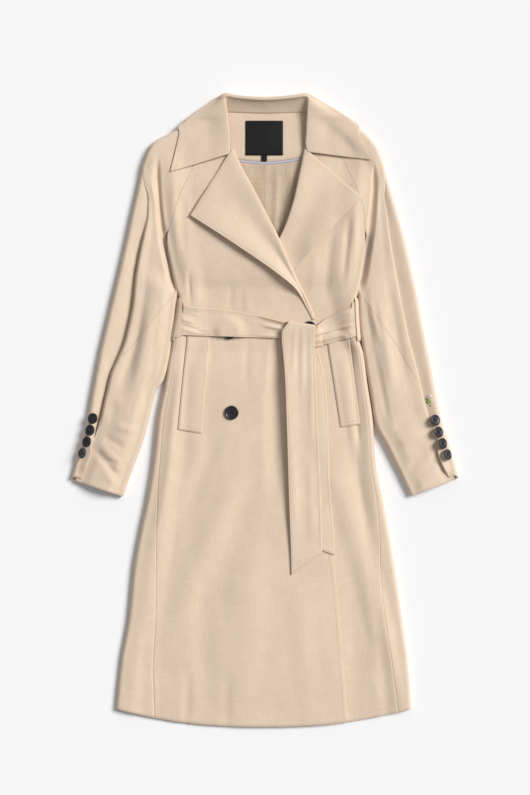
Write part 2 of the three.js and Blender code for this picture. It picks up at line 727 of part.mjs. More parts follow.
function openingSurface(rows, shares, pleat) {
  return rows.map((row) => shares.map((share) => {
    const x = mix(row.left, row.right, share);
    const y = row.at - row.sag * (1 - Math.min(1, Math.abs(x - neckCentre) / sagWidth) ** 2);
    const fold = pleat * smooth(y, 260, 290) * Math.max(0, 1 - Math.abs(x - neckCentre) / pleatWidth);
    return new THREE.Vector3(x, y, read(backLevels, 'height', y) + layerStep + fold);
  }));
}

function patchSurface(left, right, bottom, top, under) {
  return [0, 0.25, 0.5, 0.75, 1].map((row) => [0, 0.5, 1].map((share) => {
    const x = mix(left, right, share);
    const y = mix(bottom, top, row);
    return new THREE.Vector3(x, y, restingHeight([under], x, y, 4) + layerStep - 0.3);
  }));
}

// Top and bottom edge of the belt on each side of the knot, seen from above.
const beltRuns = table(['at', 'top', 'bottom'], [
  [-172, 201, 135],
  [-157, 198, 139],
  [-142, 193, 138.5],
  [-64, 184, 136],
  [-1, 173, 134],
  [44, 162, 132],
  [93, 154, 117],
  [117, 171, 123],
  [142, 183, 130],
  [162, 189, 134],
  [176, 199, 136],
]);
const floorBelt = { left: -172, right: 176, bottom: 135.5, top: 200 };
const beltTopStations = [50, 34, 14, -6, -28, -50, -72, -94, -114, -132, -144];
const beltTurns = [1, 0.86, 0.7, 0.5, 0.3, 0.14, 0];
const beltFloorStations = [-120, -60, 0, 60, 120];
const beltLeftStations = [160, 150, 138, 126, 114, 102, 90];
const beltWidthShares = [0, 0.25, 0.5, 0.75, 1];
const coveredButtons = table(['x', 'y'], [[-64, 144], [84, 150]]);

function beltLift(x, y) {
  const distance = Math.min(...coveredButtons.map((button) => Math.hypot(button.x - x, button.y - y)));
  const folded = foldHeight(beltFolds, x, y);
  return layerStep + 0.3 + 5.4 * (1 - smooth(distance, 17, 38)) + folded;
}

const beltFolds = table(['fromX', 'fromY', 'toX', 'toY', 'width', 'height'], [
  [46, 156, -40, 168, 9, 2.6],
  [46, 140, -10, 146, 8, 2.2],
  [94, 148, 150, 170, 9, 2.6],
  [94, 128, 140, 140, 8, 2.2],
  [-150, 178, -100, 176, 10, 1.6],
]);

function aroundBody(side, y, turn, lift) {
  const radius = read(rolls, 'radius', y);
  const angle = turn * halfTurn;
  const centre = edgeX(side, y) - side * radius;
  return new THREE.Vector3(centre + side * (radius + lift) * Math.sin(angle), y,
    read(rolls, 'base', y) + radius - (radius + lift) * Math.cos(angle));
}

function beltSurface(under) {
  const onTop = (x) => beltWidthShares.map((share) => {
    const y = mix(read(beltRuns, 'bottom', x), read(beltRuns, 'top', x), share);
    return new THREE.Vector3(x, y, restingHeight(under, x, y, 7) + beltLift(x, y));
  });
  const round = (side, turn) => beltWidthShares.map((share) => {
    const reach = side < 0 ? floorBelt.left : floorBelt.right;
    const y = mix(read(beltRuns, 'bottom', reach), read(beltRuns, 'top', reach), share);
    return aroundBody(side, y, turn, layerStep);
  });
  const onFloor = (x) => beltWidthShares.map((share) => (
    new THREE.Vector3(x, mix(floorBelt.bottom, floorBelt.top, share), beltCentre)
  ));
  return [
    ...beltTopStations.map(onTop),
    ...beltTurns.map((turn) => round(-1, turn)),
    ...beltFloorStations.map(onFloor),
    ...[...beltTurns].reverse().map((turn) => round(1, turn)),
    ...beltLeftStations.map(onTop),
  ];
}

// Hanging ends of the belt: side edges by height, with the slanted cut at the end.
const frontTail = table(['at', 'left', 'right', 'lift'], [
  [-304, 51, 108, 6],
  [-264, 50, 107, 6.5],
  [-150, 46, 104, 8],
  [-18, 42, 98.5, 9.5],
  [60, 39, 95.5, 10],
  [110, 36.5, 94, 10.2],
  [138, 36, 93, 9.6],
]);
const underTail = table(['at', 'left', 'right', 'lift'], [
  [-304, 74, 130, 2.6],
  [-264, 74, 130, 2.8],
  [-131, 64, 121, 4.4],
  [-60, 62, 119, 5.8],
  [-18, 61, 118, 5.9],
  [31, 58, 115, 5.9],
  [74, 55, 109, 6.8],
  [112, 50, 99, 7.2],
]);
const tailRows = [0, 0.06, 0.16, 0.28, 0.4, 0.52, 0.64, 0.75, 0.85, 0.93, 1];
const tailShares = [0, 0.12, 0.32, 0.55, 0.78, 0.92, 1];

function tailSurface(tail, under, bottomLeft, bottomRight, top, leftLift) {
  return tailRows.map((row) => tailShares.map((share) => {
    const y = mix(mix(bottomLeft, bottomRight, share), top, row);
    const x = mix(read(tail, 'left', y), read(tail, 'right', y), share);
    const between = smooth(row, 0.02, 0.3) * (1 - smooth(row, 0.8, 0.95));
    const bowed = leftLift * (1 - smooth(share, 0, 0.5)) * between;
    return new THREE.Vector3(x, y, restingHeight(under, x, y, 5) + read(tail, 'lift', y) + bowed);
  }));
}

// The belt's turn over the knot.
const knotRows = table(['at', 'left', 'right', 'height'], [
  [126, 31, 97, 15.5],
  [132, 30.5, 97, 17.5],
  [142, 31, 97, 18.5],
  [153, 36, 96.5, 17.5],
  [161, 43, 94, 16],
  [166, 48, 90, 14],
]);

const knotShares = [0, 0.08, 0.2, 0.4, 0.6, 0.8, 0.92, 1];
const knotBase = 6.5;
const knotLeftHeight = 9.5;
const knotRightHeight = 12.5;

function knotSurface() {
  return knotRows.map((row) => knotShares.map((share) => {
    const crown = Math.min(1, Math.sin(share * halfTurn) * 2.2);
    const edgeHeight = mix(knotLeftHeight, knotRightHeight, share);
    const height = knotBase + mix(edgeHeight, row.height, crown);
    return new THREE.Vector3(mix(row.left, row.right, share), row.at, height);
  }));
}

const weltRows = [0, 0.1, 0.22, 0.36, 0.5, 0.64, 0.78, 0.9, 1];
const weltShares = [0, 0.12, 0.4, 0.7, 1];

function weltSurface(corners, under) {
  return weltRows.map((row) => weltShares.map((share) => {
    const bottomX = mix(corners.bottomLeftX, corners.bottomRightX, share);
    const topX = mix(corners.topLeftX, corners.topRightX, share);
    const x = mix(bottomX, topX, row);
    const y = mix(mix(corners.bottomLeftY, corners.bottomRightY, share), corners.topY, row);
    return new THREE.Vector3(x, y, restingHeight(under, x, y, 3) + layerStep - 0.1);
  }));
}

const loopRows = table(['at', 'lift'], [
  [122, 2.5],
  [128, 2.6],
  [134, 4.1],
  [150, 4.1],
  [168, 4.1],
  [186, 4.1],
  [202, 4.1],
  [208, 1.8],
  [214, 1.8],
]);

const loopTurns = [0.56, 0.68, 0.8, 0.92, 1.02];

function loopSurface(side) {
  return loopRows.map((row) => loopTurns.map((turn) => aroundBody(side, row.at, turn, row.lift)));
}

function buttonGeometry(radius) {
  const thickness = radius * 0.28;
  const profile = [
    [0, 0],
    [radius * 0.86, 0],
    [radius, thickness * 0.35],
    [radius * 0.98, thickness * 0.8],
    [radius * 0.88, thickness],
    [radius * 0.74, thickness * 0.68],
    [0, thickness * 0.62],
  ];
  const geometry = new THREE.LatheGeometry(profile.map(([x, y]) => new THREE.Vector2(x, y)), 12);
  geometry.rotateX(halfTurn / 2);
  return geometry;
}

const frontButtons = table(['x', 'y', 'gap'], [
  [-64, 144, 0.4],
  [84, 150, 0.4],
  [-60, -5, 0.4],
  [88, -4, 0.4],
]);
const rightCuffButtons = table(['x', 'y', 'gap'], [
  [-316, -16, 1.1],
  [-321, -37.8, 1.1],
  [-327, -59.2, 1.1],
  [-335, -80, 1.1],
]);
const leftCuffButtons = table(['x', 'y', 'gap'], [
  [316, -19, 1.1],
  [322, -41, 1.1],
  [329.5, -62, 1.1],
  [338.5, -82.5, 0.8],
]);

function clothMaterial(name, colour) {
  return new THREE.MeshStandardMaterial({ name, color: colour, roughness: 0.85, metalness: 0 });
}

const coat = new THREE.Group();

function add(name, geometry, slot, colour) {
  const mesh = new THREE.Mesh(geometry, clothMaterial(slot, colour));
  mesh.name = name;
  coat.add(mesh);
}

const gabardine = 0xe1cbb2;
const bindingLilac = 0xc4c0cf;
const liningBeige = 0xdccdb6;
const labelBlack = 0x15161a;
const buttonBlack = 0x1c1c1f;
const surfaces = {
  back: backSurface(),
  frontRight: frontSurface(-1),
  frontLeft: frontSurface(1),
  sleeveRightBack: sleeveBackSurface(-1, rightSleeveSections),
  sleeveRightFront: sleeveFrontSurface(-1, rightSleeveSections),
  sleeveLeftBack: sleeveBackSurface(1, leftSleeveSections),
  sleeveLeftFront: sleeveFrontSurface(1, leftSleeveSections),
};
add('back', wallGeometry(surfaces.back, clothThickness), 'gabardine', gabardine);
add('front_right', wallGeometry(surfaces.frontRight, clothThickness), 'gabardine', gabardine);
add('front_left', wallGeometry(surfaces.frontLeft, clothThickness), 'gabardine', gabardine);
add('sleeve_right_back', wallGeometry(surfaces.sleeveRightBack, clothThickness), 'gabardine', gabardine);
add('sleeve_right_front', wallGeometry(surfaces.sleeveRightFront, clothThickness), 'gabardine', gabardine);
add('sleeve_left_back', wallGeometry(surfaces.sleeveLeftBack, clothThickness), 'gabardine', gabardine);
add('sleeve_left_front', wallGeometry(surfaces.sleeveLeftFront, clothThickness), 'gabardine', gabardine);

const chest = [surfaces.frontRight, surfaces.frontLeft];
const sleeves = [
  surfaces.sleeveRightFront,
  surfaces.sleeveRightBack,
  surfaces.sleeveLeftFront,
  surfaces.sleeveLeftBack,
];
const rightWelt = {
  topLeftX: -141,
  topRightX: -100,
  topY: 144,
  bottomLeftX: -159,
  bottomLeftY: -36,
  bottomRightX: -116,
  bottomRightY: -43,
};
const leftWelt = {
  topLeftX: 116,
  topRightX: 157,
  topY: 138,
  bottomLeftX: 142,
  bottomLeftY: -32,
  bottomRightX: 178,
  bottomRightY: -26,
};
surfaces.lapelRight = lapelSurface(-1, rightLapelEdge, [surfaces.frontRight]);
surfaces.lapelLeft = lapelSurface(1, leftLapelEdge, [surfaces.frontLeft]);
surfaces.collar = collarSurface([...chest, ...sleeves]);
surfaces.weltRight = weltSurface(rightWelt, [surfaces.frontRight]);
surfaces.weltLeft = weltSurface(leftWelt, [surfaces.frontLeft]);
surfaces.belt = beltSurface([...chest, surfaces.weltRight, surfaces.weltLeft, surfaces.lapelRight]);
surfaces.tailUnder = tailSurface(underTail, chest, -247, -268, 112, 0);
surfaces.tailFront = tailSurface(frontTail, chest, -304, -264, 138, 3);
add('lapel_right', wallGeometry(surfaces.lapelRight, doubledThickness), 'gabardine', gabardine);
add('lapel_left', wallGeometry(surfaces.lapelLeft, clothThickness), 'gabardine', gabardine);
add('collar', wallGeometry(surfaces.collar, doubledThickness), 'gabardine', gabardine);
add('collar_stand', wallGeometry(standSurface(), doubledThickness), 'gabardine', gabardine);
const openingShares = [0, 0.14, 0.28, 0.42, 0.488, 0.56, 0.7, 0.85, 1];
surfaces.facing = openingSurface(facingRows, openingShares, 0);
add('back_neck_facing', wallGeometry(surfaces.facing, clothThickness), 'gabardine', gabardine);
add('neck_binding', wallGeometry(openingSurface(bindingRows, openingShares, 0), 1), 'binding', bindingLilac);
add('back_lining', wallGeometry(openingSurface(liningRows, openingShares, 0.8), 1), 'lining', liningBeige);
add('neck_label', wallGeometry(patchSurface(-34, 35, 472.5, 536, surfaces.facing), 1), 'label', labelBlack);
add('size_tab', wallGeometry(patchSurface(-4.5, 5.5, 461.5, 471.7, surfaces.facing), 1), 'label', labelBlack);
add('pocket_welt_right', wallGeometry(surfaces.weltRight, clothThickness), 'gabardine', gabardine);
add('pocket_welt_left', wallGeometry(surfaces.weltLeft, clothThickness), 'gabardine', gabardine);
add('belt_band', wallGeometry(surfaces.belt, doubledThickness), 'gabardine', gabardine);
add('belt_tail_under', wallGeometry(surfaces.tailUnder, doubledThickness), 'gabardine', gabardine);
add('belt_tail_front', wallGeometry(surfaces.tailFront, doubledThickness), 'gabardine', gabardine);
add('belt_knot', wallGeometry(knotSurface(), doubledThickness), 'gabardine', gabardine);
add('belt_loop_right', wallGeometry(loopSurface(-1), clothThickness), 'gabardine', gabardine);
add('belt_loop_left', wallGeometry(loopSurface(1), clothThickness), 'gabardine', gabardine);

function addButtons(name, places, radius, tilt) {
  places.forEach((place, number) => {
    const geometry = buttonGeometry(radius);
    const support = restingHeight([...chest, ...sleeves], place.x, place.y, radius * 0.8);
    geometry.rotateY(tilt);
    geometry.translate(place.x, place.y, support + restHeight + place.gap);
    add(`${name}_${number + 1}`, geometry, 'button', buttonBlack);
  });
}

addButtons('button_front', frontButtons, frontButtonRadius, 0);
addButtons('button_cuff_right', rightCuffButtons, cuffButtonRadius, -cuffButtonTilt);
addButtons('button_cuff_left', leftCuffButtons, cuffButtonRadius, cuffButtonTilt);

export default coat;
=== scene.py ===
import math
from bisect import bisect_right

import bmesh
import bpy
import numpy as np
from mathutils import Matrix, Vector, noise
from mathutils.bvhtree import BVHTree


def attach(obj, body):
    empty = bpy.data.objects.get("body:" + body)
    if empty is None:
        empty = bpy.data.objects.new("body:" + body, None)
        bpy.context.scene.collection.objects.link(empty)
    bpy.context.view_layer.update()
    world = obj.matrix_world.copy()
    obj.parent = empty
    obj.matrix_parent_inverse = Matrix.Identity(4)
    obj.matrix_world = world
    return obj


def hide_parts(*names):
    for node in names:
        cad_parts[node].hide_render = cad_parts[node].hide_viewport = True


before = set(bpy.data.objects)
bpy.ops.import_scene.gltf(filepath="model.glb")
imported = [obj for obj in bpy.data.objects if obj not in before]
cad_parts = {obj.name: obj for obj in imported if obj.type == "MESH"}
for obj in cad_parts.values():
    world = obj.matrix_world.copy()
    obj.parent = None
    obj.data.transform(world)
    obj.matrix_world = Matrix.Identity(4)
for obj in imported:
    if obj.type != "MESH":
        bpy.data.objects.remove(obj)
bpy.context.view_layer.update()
print("frame loaded with", len(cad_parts), "nodes")

# All tables are in millimetres, as in the part's own source; meshes are made in metres.
metresPerMm = 0.001

cameraSetup = {
    "seenHeight": 1471.0,
    "centreX": 1.85,
    "centreY": 23.1,
    "height": 4200.0,
    "sensor": 36.0,
}


def makeCamera(setup):
    data = bpy.data.cameras.new("photoCamera")
    data.sensor_width = setup["sensor"]
    data.lens = setup["sensor"] * (setup["height"] - 15.0) / setup["seenHeight"]
    data.clip_start = 0.1
    data.clip_end = 20.0
    camera = bpy.data.objects.new("photoCamera", data)
    camera.location = (
        setup["centreX"] * metresPerMm,
        setup["centreY"] * metresPerMm,
        setup["height"] * metresPerMm,
    )
    bpy.context.scene.collection.objects.link(camera)
    bpy.context.scene.camera = camera


makeCamera(cameraSetup)


# Small number helpers

def smooth(value, start, end):
    t = min(1.0, max(0.0, (value - start) / (end - start)))
    return t * t * (3.0 - 2.0 * t)


def mix(start, end, share):
    return start + (end - start) * share


def spaced(start, end, count):
    return [start + (end - start) * i / (count - 1) for i in range(count)]


def table(columns, rows):
    return {name: [float(row[i]) for row in rows] for i, name in enumerate(columns)}


# Smooth reading between the rows of a table, without overshoot.
def read(rows, column, at):
    places, values = rows["at"], rows[column]
    if at <= places[0]:
        return values[0]
    if at >= places[-1]:
        return values[-1]
    upper = bisect_right(places, at)
    lower = upper - 1

    def chord(i):
        return (values[i + 1] - values[i]) / (places[i + 1] - places[i])

    def slope(i, own):
        if i <= 0 or i >= len(places) - 1:
            return chord(own)
        before, after = chord(i - 1), chord(i)
        return 2 * before * after / (before + after) if before * after > 0 else 0.0

    span = places[upper] - places[lower]
    t = (at - places[lower]) / span
    first = slope(lower, lower) * span
    last = slope(upper, lower) * span
    rise = values[upper] - values[lower]
    return values[lower] + t * (first + t * (3 * rise - 2 * first - last + t * (first + last - 2 * rise)))


# Soft folds as ridges and troughs from one point to another.
foldColumns = ["fromX", "fromY", "toX", "toY", "width", "height"]


def foldHeight(folds, x, y):
    height = 0.0
    for fromX, fromY, toX, toY, width, high in folds:
        runX, runY = toX - fromX, toY - fromY
        length = math.hypot(runX, runY)
        across = abs((x - fromX) * runY - (y - fromY) * runX) / length
        if across >= width:
            continue
        along = ((x - fromX) * runX + (y - fromY) * runY) / (length * length)
        taper = smooth(along, -0.12, 0.3) * (1.0 - smooth(along, 0.7, 1.12))
        height += high * taper * (1.0 - smooth(across, 0.0, width))
    return height


def slowNoise(x, y, size, seed):
    return noise.noise(Vector((x / size, y / size, seed)))


# Sizes of the coat

coat = {
    "cloth": 0.9,
    "doubled": 1.5,
    "layerStep": 1.9,
    "seamGap": 0.3,
    "raglanGap": 0.55,
    "rest": 0.6,
    "beltCentre": 0.8,
    "hemBottom": -587.0,
    "hemCornerRise": 34.0,
    "hemHalfWidth": 274.0,
    "beltLine": 104.0,
    "armpit": 204.0,
    "armpitTop": 324.0,
}

# Side edges of the body from hem to shoulder. Above the belt they are the armhole folds.
sides = table(["at", "left", "right"], [
    [-587, -274, 273],
    [-490, -265, 266],
    [-396, -250, 255],
    [-302, -241, 242],
    [-226, -228, 230],
    [-169, -216, 220],
    [-94, -204, 206],
    [-18, -196, 201],
    [49, -183, 191],
    [104, -174, 184],
    [133, -168, 175],
    [204, -157, 171],
    [224, -163, 176],
    [270, -173, 184],
    [324, -184, 192],
    [400, -193, 200],
    [500, -198, 208],
])
# How round the side edge is, how high its lowest point lies and how far inward its height fades.
rolls = table(["at", "radius", "base", "fadeLeft", "fadeRight"], [
    [-587, 5, 0.6, 60, 46],
    [-300, 6.4, 0.6, 62, 44],
    [-60, 7.4, 0.6, 52, 26],
    [104, 7.4, 0.6, 38, 22],
    [128, 7.2, 2.7, 40, 24],
    [206, 7, 2.7, 50, 46],
    [226, 6.4, 3.4, 55, 55],
    [324, 5, 4.4, 60, 60],
    [400, 4.6, 4.2, 60, 60],
    [500, 4, 5, 60, 60],
])
sideSeams = table(["at", "left", "right"], [
    [-587, 71, 24],
    [-396, 49, 31],
    [-300, 41, 26],
    [-222, 28, 16],
    [-111, 12, 9],
    [-37, 10, 8.5],
    [28, 8.5, 8.5],
    [104, 8, 8],
])
sideTurns = table(["at", "back", "front"], [
    [104, 1, 1],
    [128, 0.92, 0.92],
    [150, 0.66, 0.66],
    [175, 0.34, 0.34],
    [192, 0.14, 0.14],
    [204, 0.1, 0.1],
    [217, 0, 0.42],
    [240, 0, 0.4],
    [270, 0, 0.5],
    [296, 0, 0.72],
    [324, 0, 1],
])
backRaglan = table(["at", "left", "right"], [
    [204, -151.5, 165.5],
    [217, -152, 166],
    [240, -152.5, 166],
    [300, -148, 160],
    [350, -141, 152],
    [400, -131, 142],
    [450, -118, 129],
    [500, -105, 115],
    [548, -92, 101],
])
frontRaglan = table(["at", "left", "right"], [
    [324, -179, 187],
    [366, -166.5, 184.5],
    [405, -153, 173],
    [449, -132, 153],
    [487, -117, 135],
    [510, -108, 124],
])
# Free front edges up to the lapel break, then the roll lines of the lapels.
frontEdges = table(["at", "upper", "lower"], [
    [-587, 155, -151],
    [-453, 144, -140],
    [-358, 137, -133],
    [-271, 127, -123],
    [-100, 115, -111],
    [0, 108, -104],
    [60, 104, -100],
    [150, 97, -93],
    [172, 91.5, -86],
    [261, 49, -13],
    [316, 24, 30],
    [384, -10.5, 57.5],
    [452, -46.5, 72.5],
    [487, -63.5, 80.5],
    [508, -90, 106],
])
backLevels = table(["at", "height"], [
    [-587, 0.6],
    [104, 0.6],
    [126, 2.7],
    [206, 2.7],
    [232, 0.6],
    [452, 0.6],
    [486, 2.9],
    [560, 2.9],
])

# How the fronts are draped: a soft loft, and folds that both fronts share.
drapeSetup = {
    "skirtLoft": 4.0,
    "chestLoft": 3.0,
    "hemLoft": 1.0,
    "rippleHeight": 0.9,
    "rippleSize": 62.0,
    "crownHeight": 9.5,
    "crownCentre": 12.0,
    "crownReach": 235.0,
    "rippleSeed": 3.7,
}
bodyFolds = [
    [-118, 110, -128, -110, 22, 1.4],
    [-46, -112, -170, -400, 38, 3.0],
    [-84, -40, -148, -210, 26, -2.6],
    [0, -80, -120, -430, 44, -2.4],
    [-170, -40, -196, -340, 24, 2.0],
    [-120, -280, -104, -570, 32, -1.8],
    [-20, -230, -44, -580, 46, 2.0],
    [62, -320, 88, -590, 34, 1.6],
    [20, 112, 22, -170, 26, -4.2],
    [128, -90, 250, -510, 34, 4.4],
    [156, -40, 264, -480, 24, -2.4],
    [146, 96, 170, -90, 12, 2.4],
    [160, 128, 164, 60, 4, -3.4],
    [164, 64, 170, 12, 5, -3.2],
    [169, 20, 176, -60, 6, -2.4],
    [190, 60, 207, -120, 9, -3.0],
    [160, -300, 172, -590, 30, -1.8],
    [196, -330, 214, -590, 18, 1.4],
    [-140, -480, -146, -600, 14, -1.7],
    [-66, -490, -72, -600, 16, -1.3],
    [-206, -430, -214, -600, 20, 1.3],
    [-144, 128, -150, -20, 6, -3.0],
    [-158, 122, -172, -60, 12, 1.8],
    [-139, 256, -138, 188, 7, -2.8],
    [-126, 268, -122, 190, 13, 1.2],
    [-60, 232, -63, 188, 10, -1.2],
    [-30, 226, -32, 180, 11, 1.0],
    [158, 356, 148, 236, 10, -2.6],
    [142, 344, 132, 214, 16, 1.8],
    [172, 356, 169, 250, 9, 1.8],
    [122, 318, 112, 206, 12, -1.6],
    [96, 300, 88, 200, 14, 1.2],
    [-172, 412, -166, 296, 12, 1.6],
    [-152, 404, -149, 270, 13, -1.8],
    [-104, 128, -110, 60, 9, 1.4],
    [-30, 128, -36, 40, 12, -1.2],
    [8, 126, 4, 40, 12, 1.2],
]


def edgeX(side, y):
    return read(sides, "left" if side < 0 else "right", y)


# The hem is lowest in the middle; rows near it bend with it.
def bentY(x, y):
    share = (y / coat["hemBottom"]) ** 2 if y < 0 else 0.0
    return y + coat["hemCornerRise"] * abs(x / coat["hemHalfWidth"]) ** 2.4 * share


def lyingLevel(upper, y):
    overLining = coat["layerStep"] * smooth(y, 215, 250)
    crossing = 1 + smooth(y, 128, 158) - 2 * smooth(y, 322, 372)
    overFront = coat["layerStep"] * crossing if upper else 0.0
    return read(backLevels, "height", y) + coat["layerStep"] + overLining + overFront


def drape(x, y):
    skirt = drapeSetup["skirtLoft"] * smooth(168 - y, 20, 130)
    skirt = mix(skirt, drapeSetup["hemLoft"], smooth(-y, 490, 590))
    chest = drapeSetup["chestLoft"] * smooth(y, 196, 260) * (1 - smooth(y, 400, 500))
    ripple = slowNoise(x, y * 0.55, drapeSetup["rippleSize"], drapeSetup["rippleSeed"])
    fine = slowNoise(x, y * 0.7, 24, 9.1)
    waves = drapeSetup["rippleHeight"] * (ripple + 0.35 * fine)
    away = (x - drapeSetup["crownCentre"]) / drapeSetup["crownReach"]
    crowned = mix(0.35, 1.0, smooth(abs(y - 165), 30, 110)) * (1 - 0.75 * smooth(-y, 400, 590))
    crowned *= 1 - smooth(y, 400, 500)
    crown = drapeSetup["crownHeight"] * crowned * max(0.0, 1 - away * away)
    return max(0.0, skirt + chest + crown + waves + foldHeight(bodyFolds, x, y))


def frontHeight(side, x, y):
    radius = read(rolls, "radius", y)
    crest = read(rolls, "base", y) + 2 * radius
    fade = read(rolls, "fadeLeft" if side < 0 else "fadeRight", y)
    inward = (edgeX(side, y) - x) * side - radius
    level = lyingLevel(side < 0, y)
    draped = drape(x, bentY(x, y)) * smooth(inward, 0, 26)
    return level + (crest - level) * (1 - smooth(inward, 0, fade)) + draped


# A point on the side of the body: travel starts at the floor, goes round the roll and on over the top.
def sidePoint(side, y, travel):
    radius = read(rolls, "radius", y)
    base = read(rolls, "base", y)
    edge = edgeX(side, y)
    if travel < math.pi * radius:
        angle = travel / radius
        x = edge - side * radius * (1 - math.sin(angle))
        return x, bentY(x, y), base + radius * (1 - math.cos(angle))
    x = edge - side * (radius + travel - math.pi * radius)
    return x, bentY(x, y), frontHeight(side, x, y)


def seamTravel(side, y, column):
    radius = read(rolls, "radius", y)
    name = "left" if side < 0 else "right"
    if y <= coat["beltLine"]:
        return math.pi * radius + read(sideSeams, name, y) - radius
    if y <= coat["armpitTop"]:
        return max(math.pi * radius * read(sideTurns, column, y), 0.01)
    return math.pi * radius + (edgeX(side, y) - read(frontRaglan, name, y)) * side - radius


# Grids of points

def span(start, end, step):
    count = max(2, int(round(abs(end - start) / step)) + 1)
    return spaced(start, end, count)


bodyRows = span(-587, 90, 6.5) + span(94, 204, 4)
chestRows = span(208, 330, 4) + span(335, 508, 5)
backTopRows = span(208, 330, 5) + span(337, 547, 7)


def backGrid():
    floorReach, raglanReach = 9.0, 14.0
    shares = spaced(0, 1, 22)
    grid = []
    for y in bodyRows + backTopRows:
        height = read(backLevels, "height", y)
        halves = []
        for side in (-1, 1):
            half = []
            if y > coat["armpit"]:
                seamX = read(backRaglan, "left" if side < 0 else "right", y)
                half = [(seamX - side * raglanReach * (1 - s), y, height) for s in shares]
            else:
                travel = seamTravel(side, y, "back") - coat["seamGap"] / 2
                for s in shares:
                    reached = mix(-floorReach, travel, s)
                    if reached > 0:
                        half.append(sidePoint(side, y, reached))
                    else:
                        x = edgeX(side, y) - side * (read(rolls, "radius", y) - reached)
                        half.append((x, bentY(x, y), height))
            halves.append(half)
        start, finish = halves[0][0][0], halves[1][0][0]
        floor = []
        for s in spaced(0, 1, 24)[1:-1]:
            x = mix(start, finish, s)
            floor.append((x, bentY(x, y), height))
        grid.append(halves[0][::-1] + floor + halves[1])
    return np.array(grid)


def frontGrid(side):
    # finer columns round the roll, then even ones, then finer ones at the free edge
    shares = spaced(0, 0.15, 18) + spaced(0.164, 0.975, 64) + [0.985, 0.992, 0.997, 1.0]
    grid = []
    for y in bodyRows + chestRows:
        radius = read(rolls, "radius", y)
        start = seamTravel(side, y, "front") + coat["seamGap"] / 2
        edge = read(frontEdges, "upper" if side < 0 else "lower", y)
        finish = math.pi * radius - radius + (edgeX(side, y) - edge) * side
        grid.append([sidePoint(side, y, mix(start, finish, s)) for s in shares])
    return np.array(grid)


# Sleeve sections from neck to cuff: outer edge, fold of the front over the back, inner end.
# An inner or back end at x 0 lies on its raglan seam. Below the armpit both ends are a rounded edge.
# over: 1 where the back panel lies over the front one, -1 where it lies under it.
sleeveColumns = [
    "outerX", "outerY", "foldX", "foldY", "innerX", "innerY", "backX", "backY", "over", "radius", "crown",
]
rightSleeve = table(sleeveColumns, [
    [-92, 567, -94.5, 557, 0, 509, 0, 547, -1, 4.4, 12],
    [-126, 543, -125, 533.5, 0, 477, 0, 497, -1, 4.8, 12.6],
    [-151.5, 523.5, -149.2, 514, 0, 447.7, 0, 450, -1, 5.2, 13],
    [-180, 508, -176.5, 498.5, 0, 418, 0, 400, -1, 5.6, 13.4],
    [-204, 494, -200, 484.5, 0, 388.5, 0, 360, -1, 6, 14],
    [-224, 453, -218, 442, 0, 351.5, 0, 325, -1, 6.4, 14.4],
    [-233, 413, -212, 396, 0, 334, 0, 295, -1, 6.5, 14.6],
    [-236, 399, -213, 378, -182, 322, 0, 283, -1, 6.5, 14.6],
    [-239.5, 385, -214, 361, -174, 296, 0, 270, -1, 6.6, 14.6],
    [-257, 305, -230, 285, -158.5, 238, 0, 232, -1, 6.8, 14.6],
    [-267, 262, -237, 242, -161.5, 208, -161.5, 208, -1, 6.8, 14.8],
    [-277.5, 218, -241, 199, -166, 166, -166, 166, -1, 7, 15],
    [-294, 148, -257, 125, -176.5, 92, -176.5, 92, -1, 7, 15],
    [-303, 110, -270, 93, -187, 54, -187, 54, -1, 7, 15],
    [-309, 79.6, -280.5, 70, -199, 37, -199, 37, -1, 7, 15],
    [-317, 37, -291, 28, -209, 1, -209, 1, -1, 7, 15],
    [-329, -27.8, -306, -34, -223.9, -57.4, -223.9, -57.4, 0, 7, 14.8],
    [-336, -55, -317, -61, -235, -87, -235, -87, 0.5, 6.8, 14.4],
    [-344, -83, -329, -88, -246, -116.6, -246, -116.6, 1, 6.6, 14],
    [-356.7, -128.4, -346, -132, -261.2, -160, -261.2, -160, 1, 6, 12.6],
])
leftSleeve = table(sleeveColumns, [
    [100, 568, 103.7, 558.7, 0, 511, 0, 547, -1, 4.4, 12],
    [134.5, 547, 134.8, 537, 0, 482, 0, 497, -1, 4.8, 12.6],
    [163, 527.5, 161.3, 518, 0, 452, 0, 450, -1, 5.2, 13],
    [188, 510, 185.4, 500, 0, 425, 0, 400, -1, 5.6, 13.4],
    [207, 487, 203.9, 477.5, 0, 395, 0, 360, -1, 6, 14],
    [223, 446, 217.5, 435, 0, 357, 0, 325, -1, 6.4, 14.4],
    [232, 415, 221, 402, 0, 334, 0, 295, -1, 6.5, 14.6],
    [236.5, 400, 223, 386, 190, 322, 0, 283, -1, 6.5, 14.6],
    [241, 385, 226, 369, 184, 297, 0, 270, -1, 6.6, 14.6],
    [259, 319, 236, 300, 171, 238, 0, 236, -1, 6.8, 14.6],
    [271, 268, 245, 250, 175, 210, 175, 210, -1, 6.8, 14.8],
    [281, 222, 253, 207, 177, 166, 177, 166, -1, 7, 15],
    [295, 148, 268, 132, 187, 92, 187, 92, -1, 7, 15],
    [309, 80, 285, 68, 197.5, 30, 197.5, 30, -1, 7, 15],
    [318, 30, 296, 19, 207, -27, 207, -27, -1, 7, 15],
    [329, -20, 309, -28, 226, -64, 226, -64, 0, 7, 14.8],
    [338, -50, 321, -58, 238, -88, 238, -88, 0.5, 6.8, 14.4],
    [347, -78, 331, -86, 251, -114, 251, -114, 1, 6.6, 14],
    [360, -126, 350, -129, 272, -159, 272, -159, 1, 6, 12.6],
])
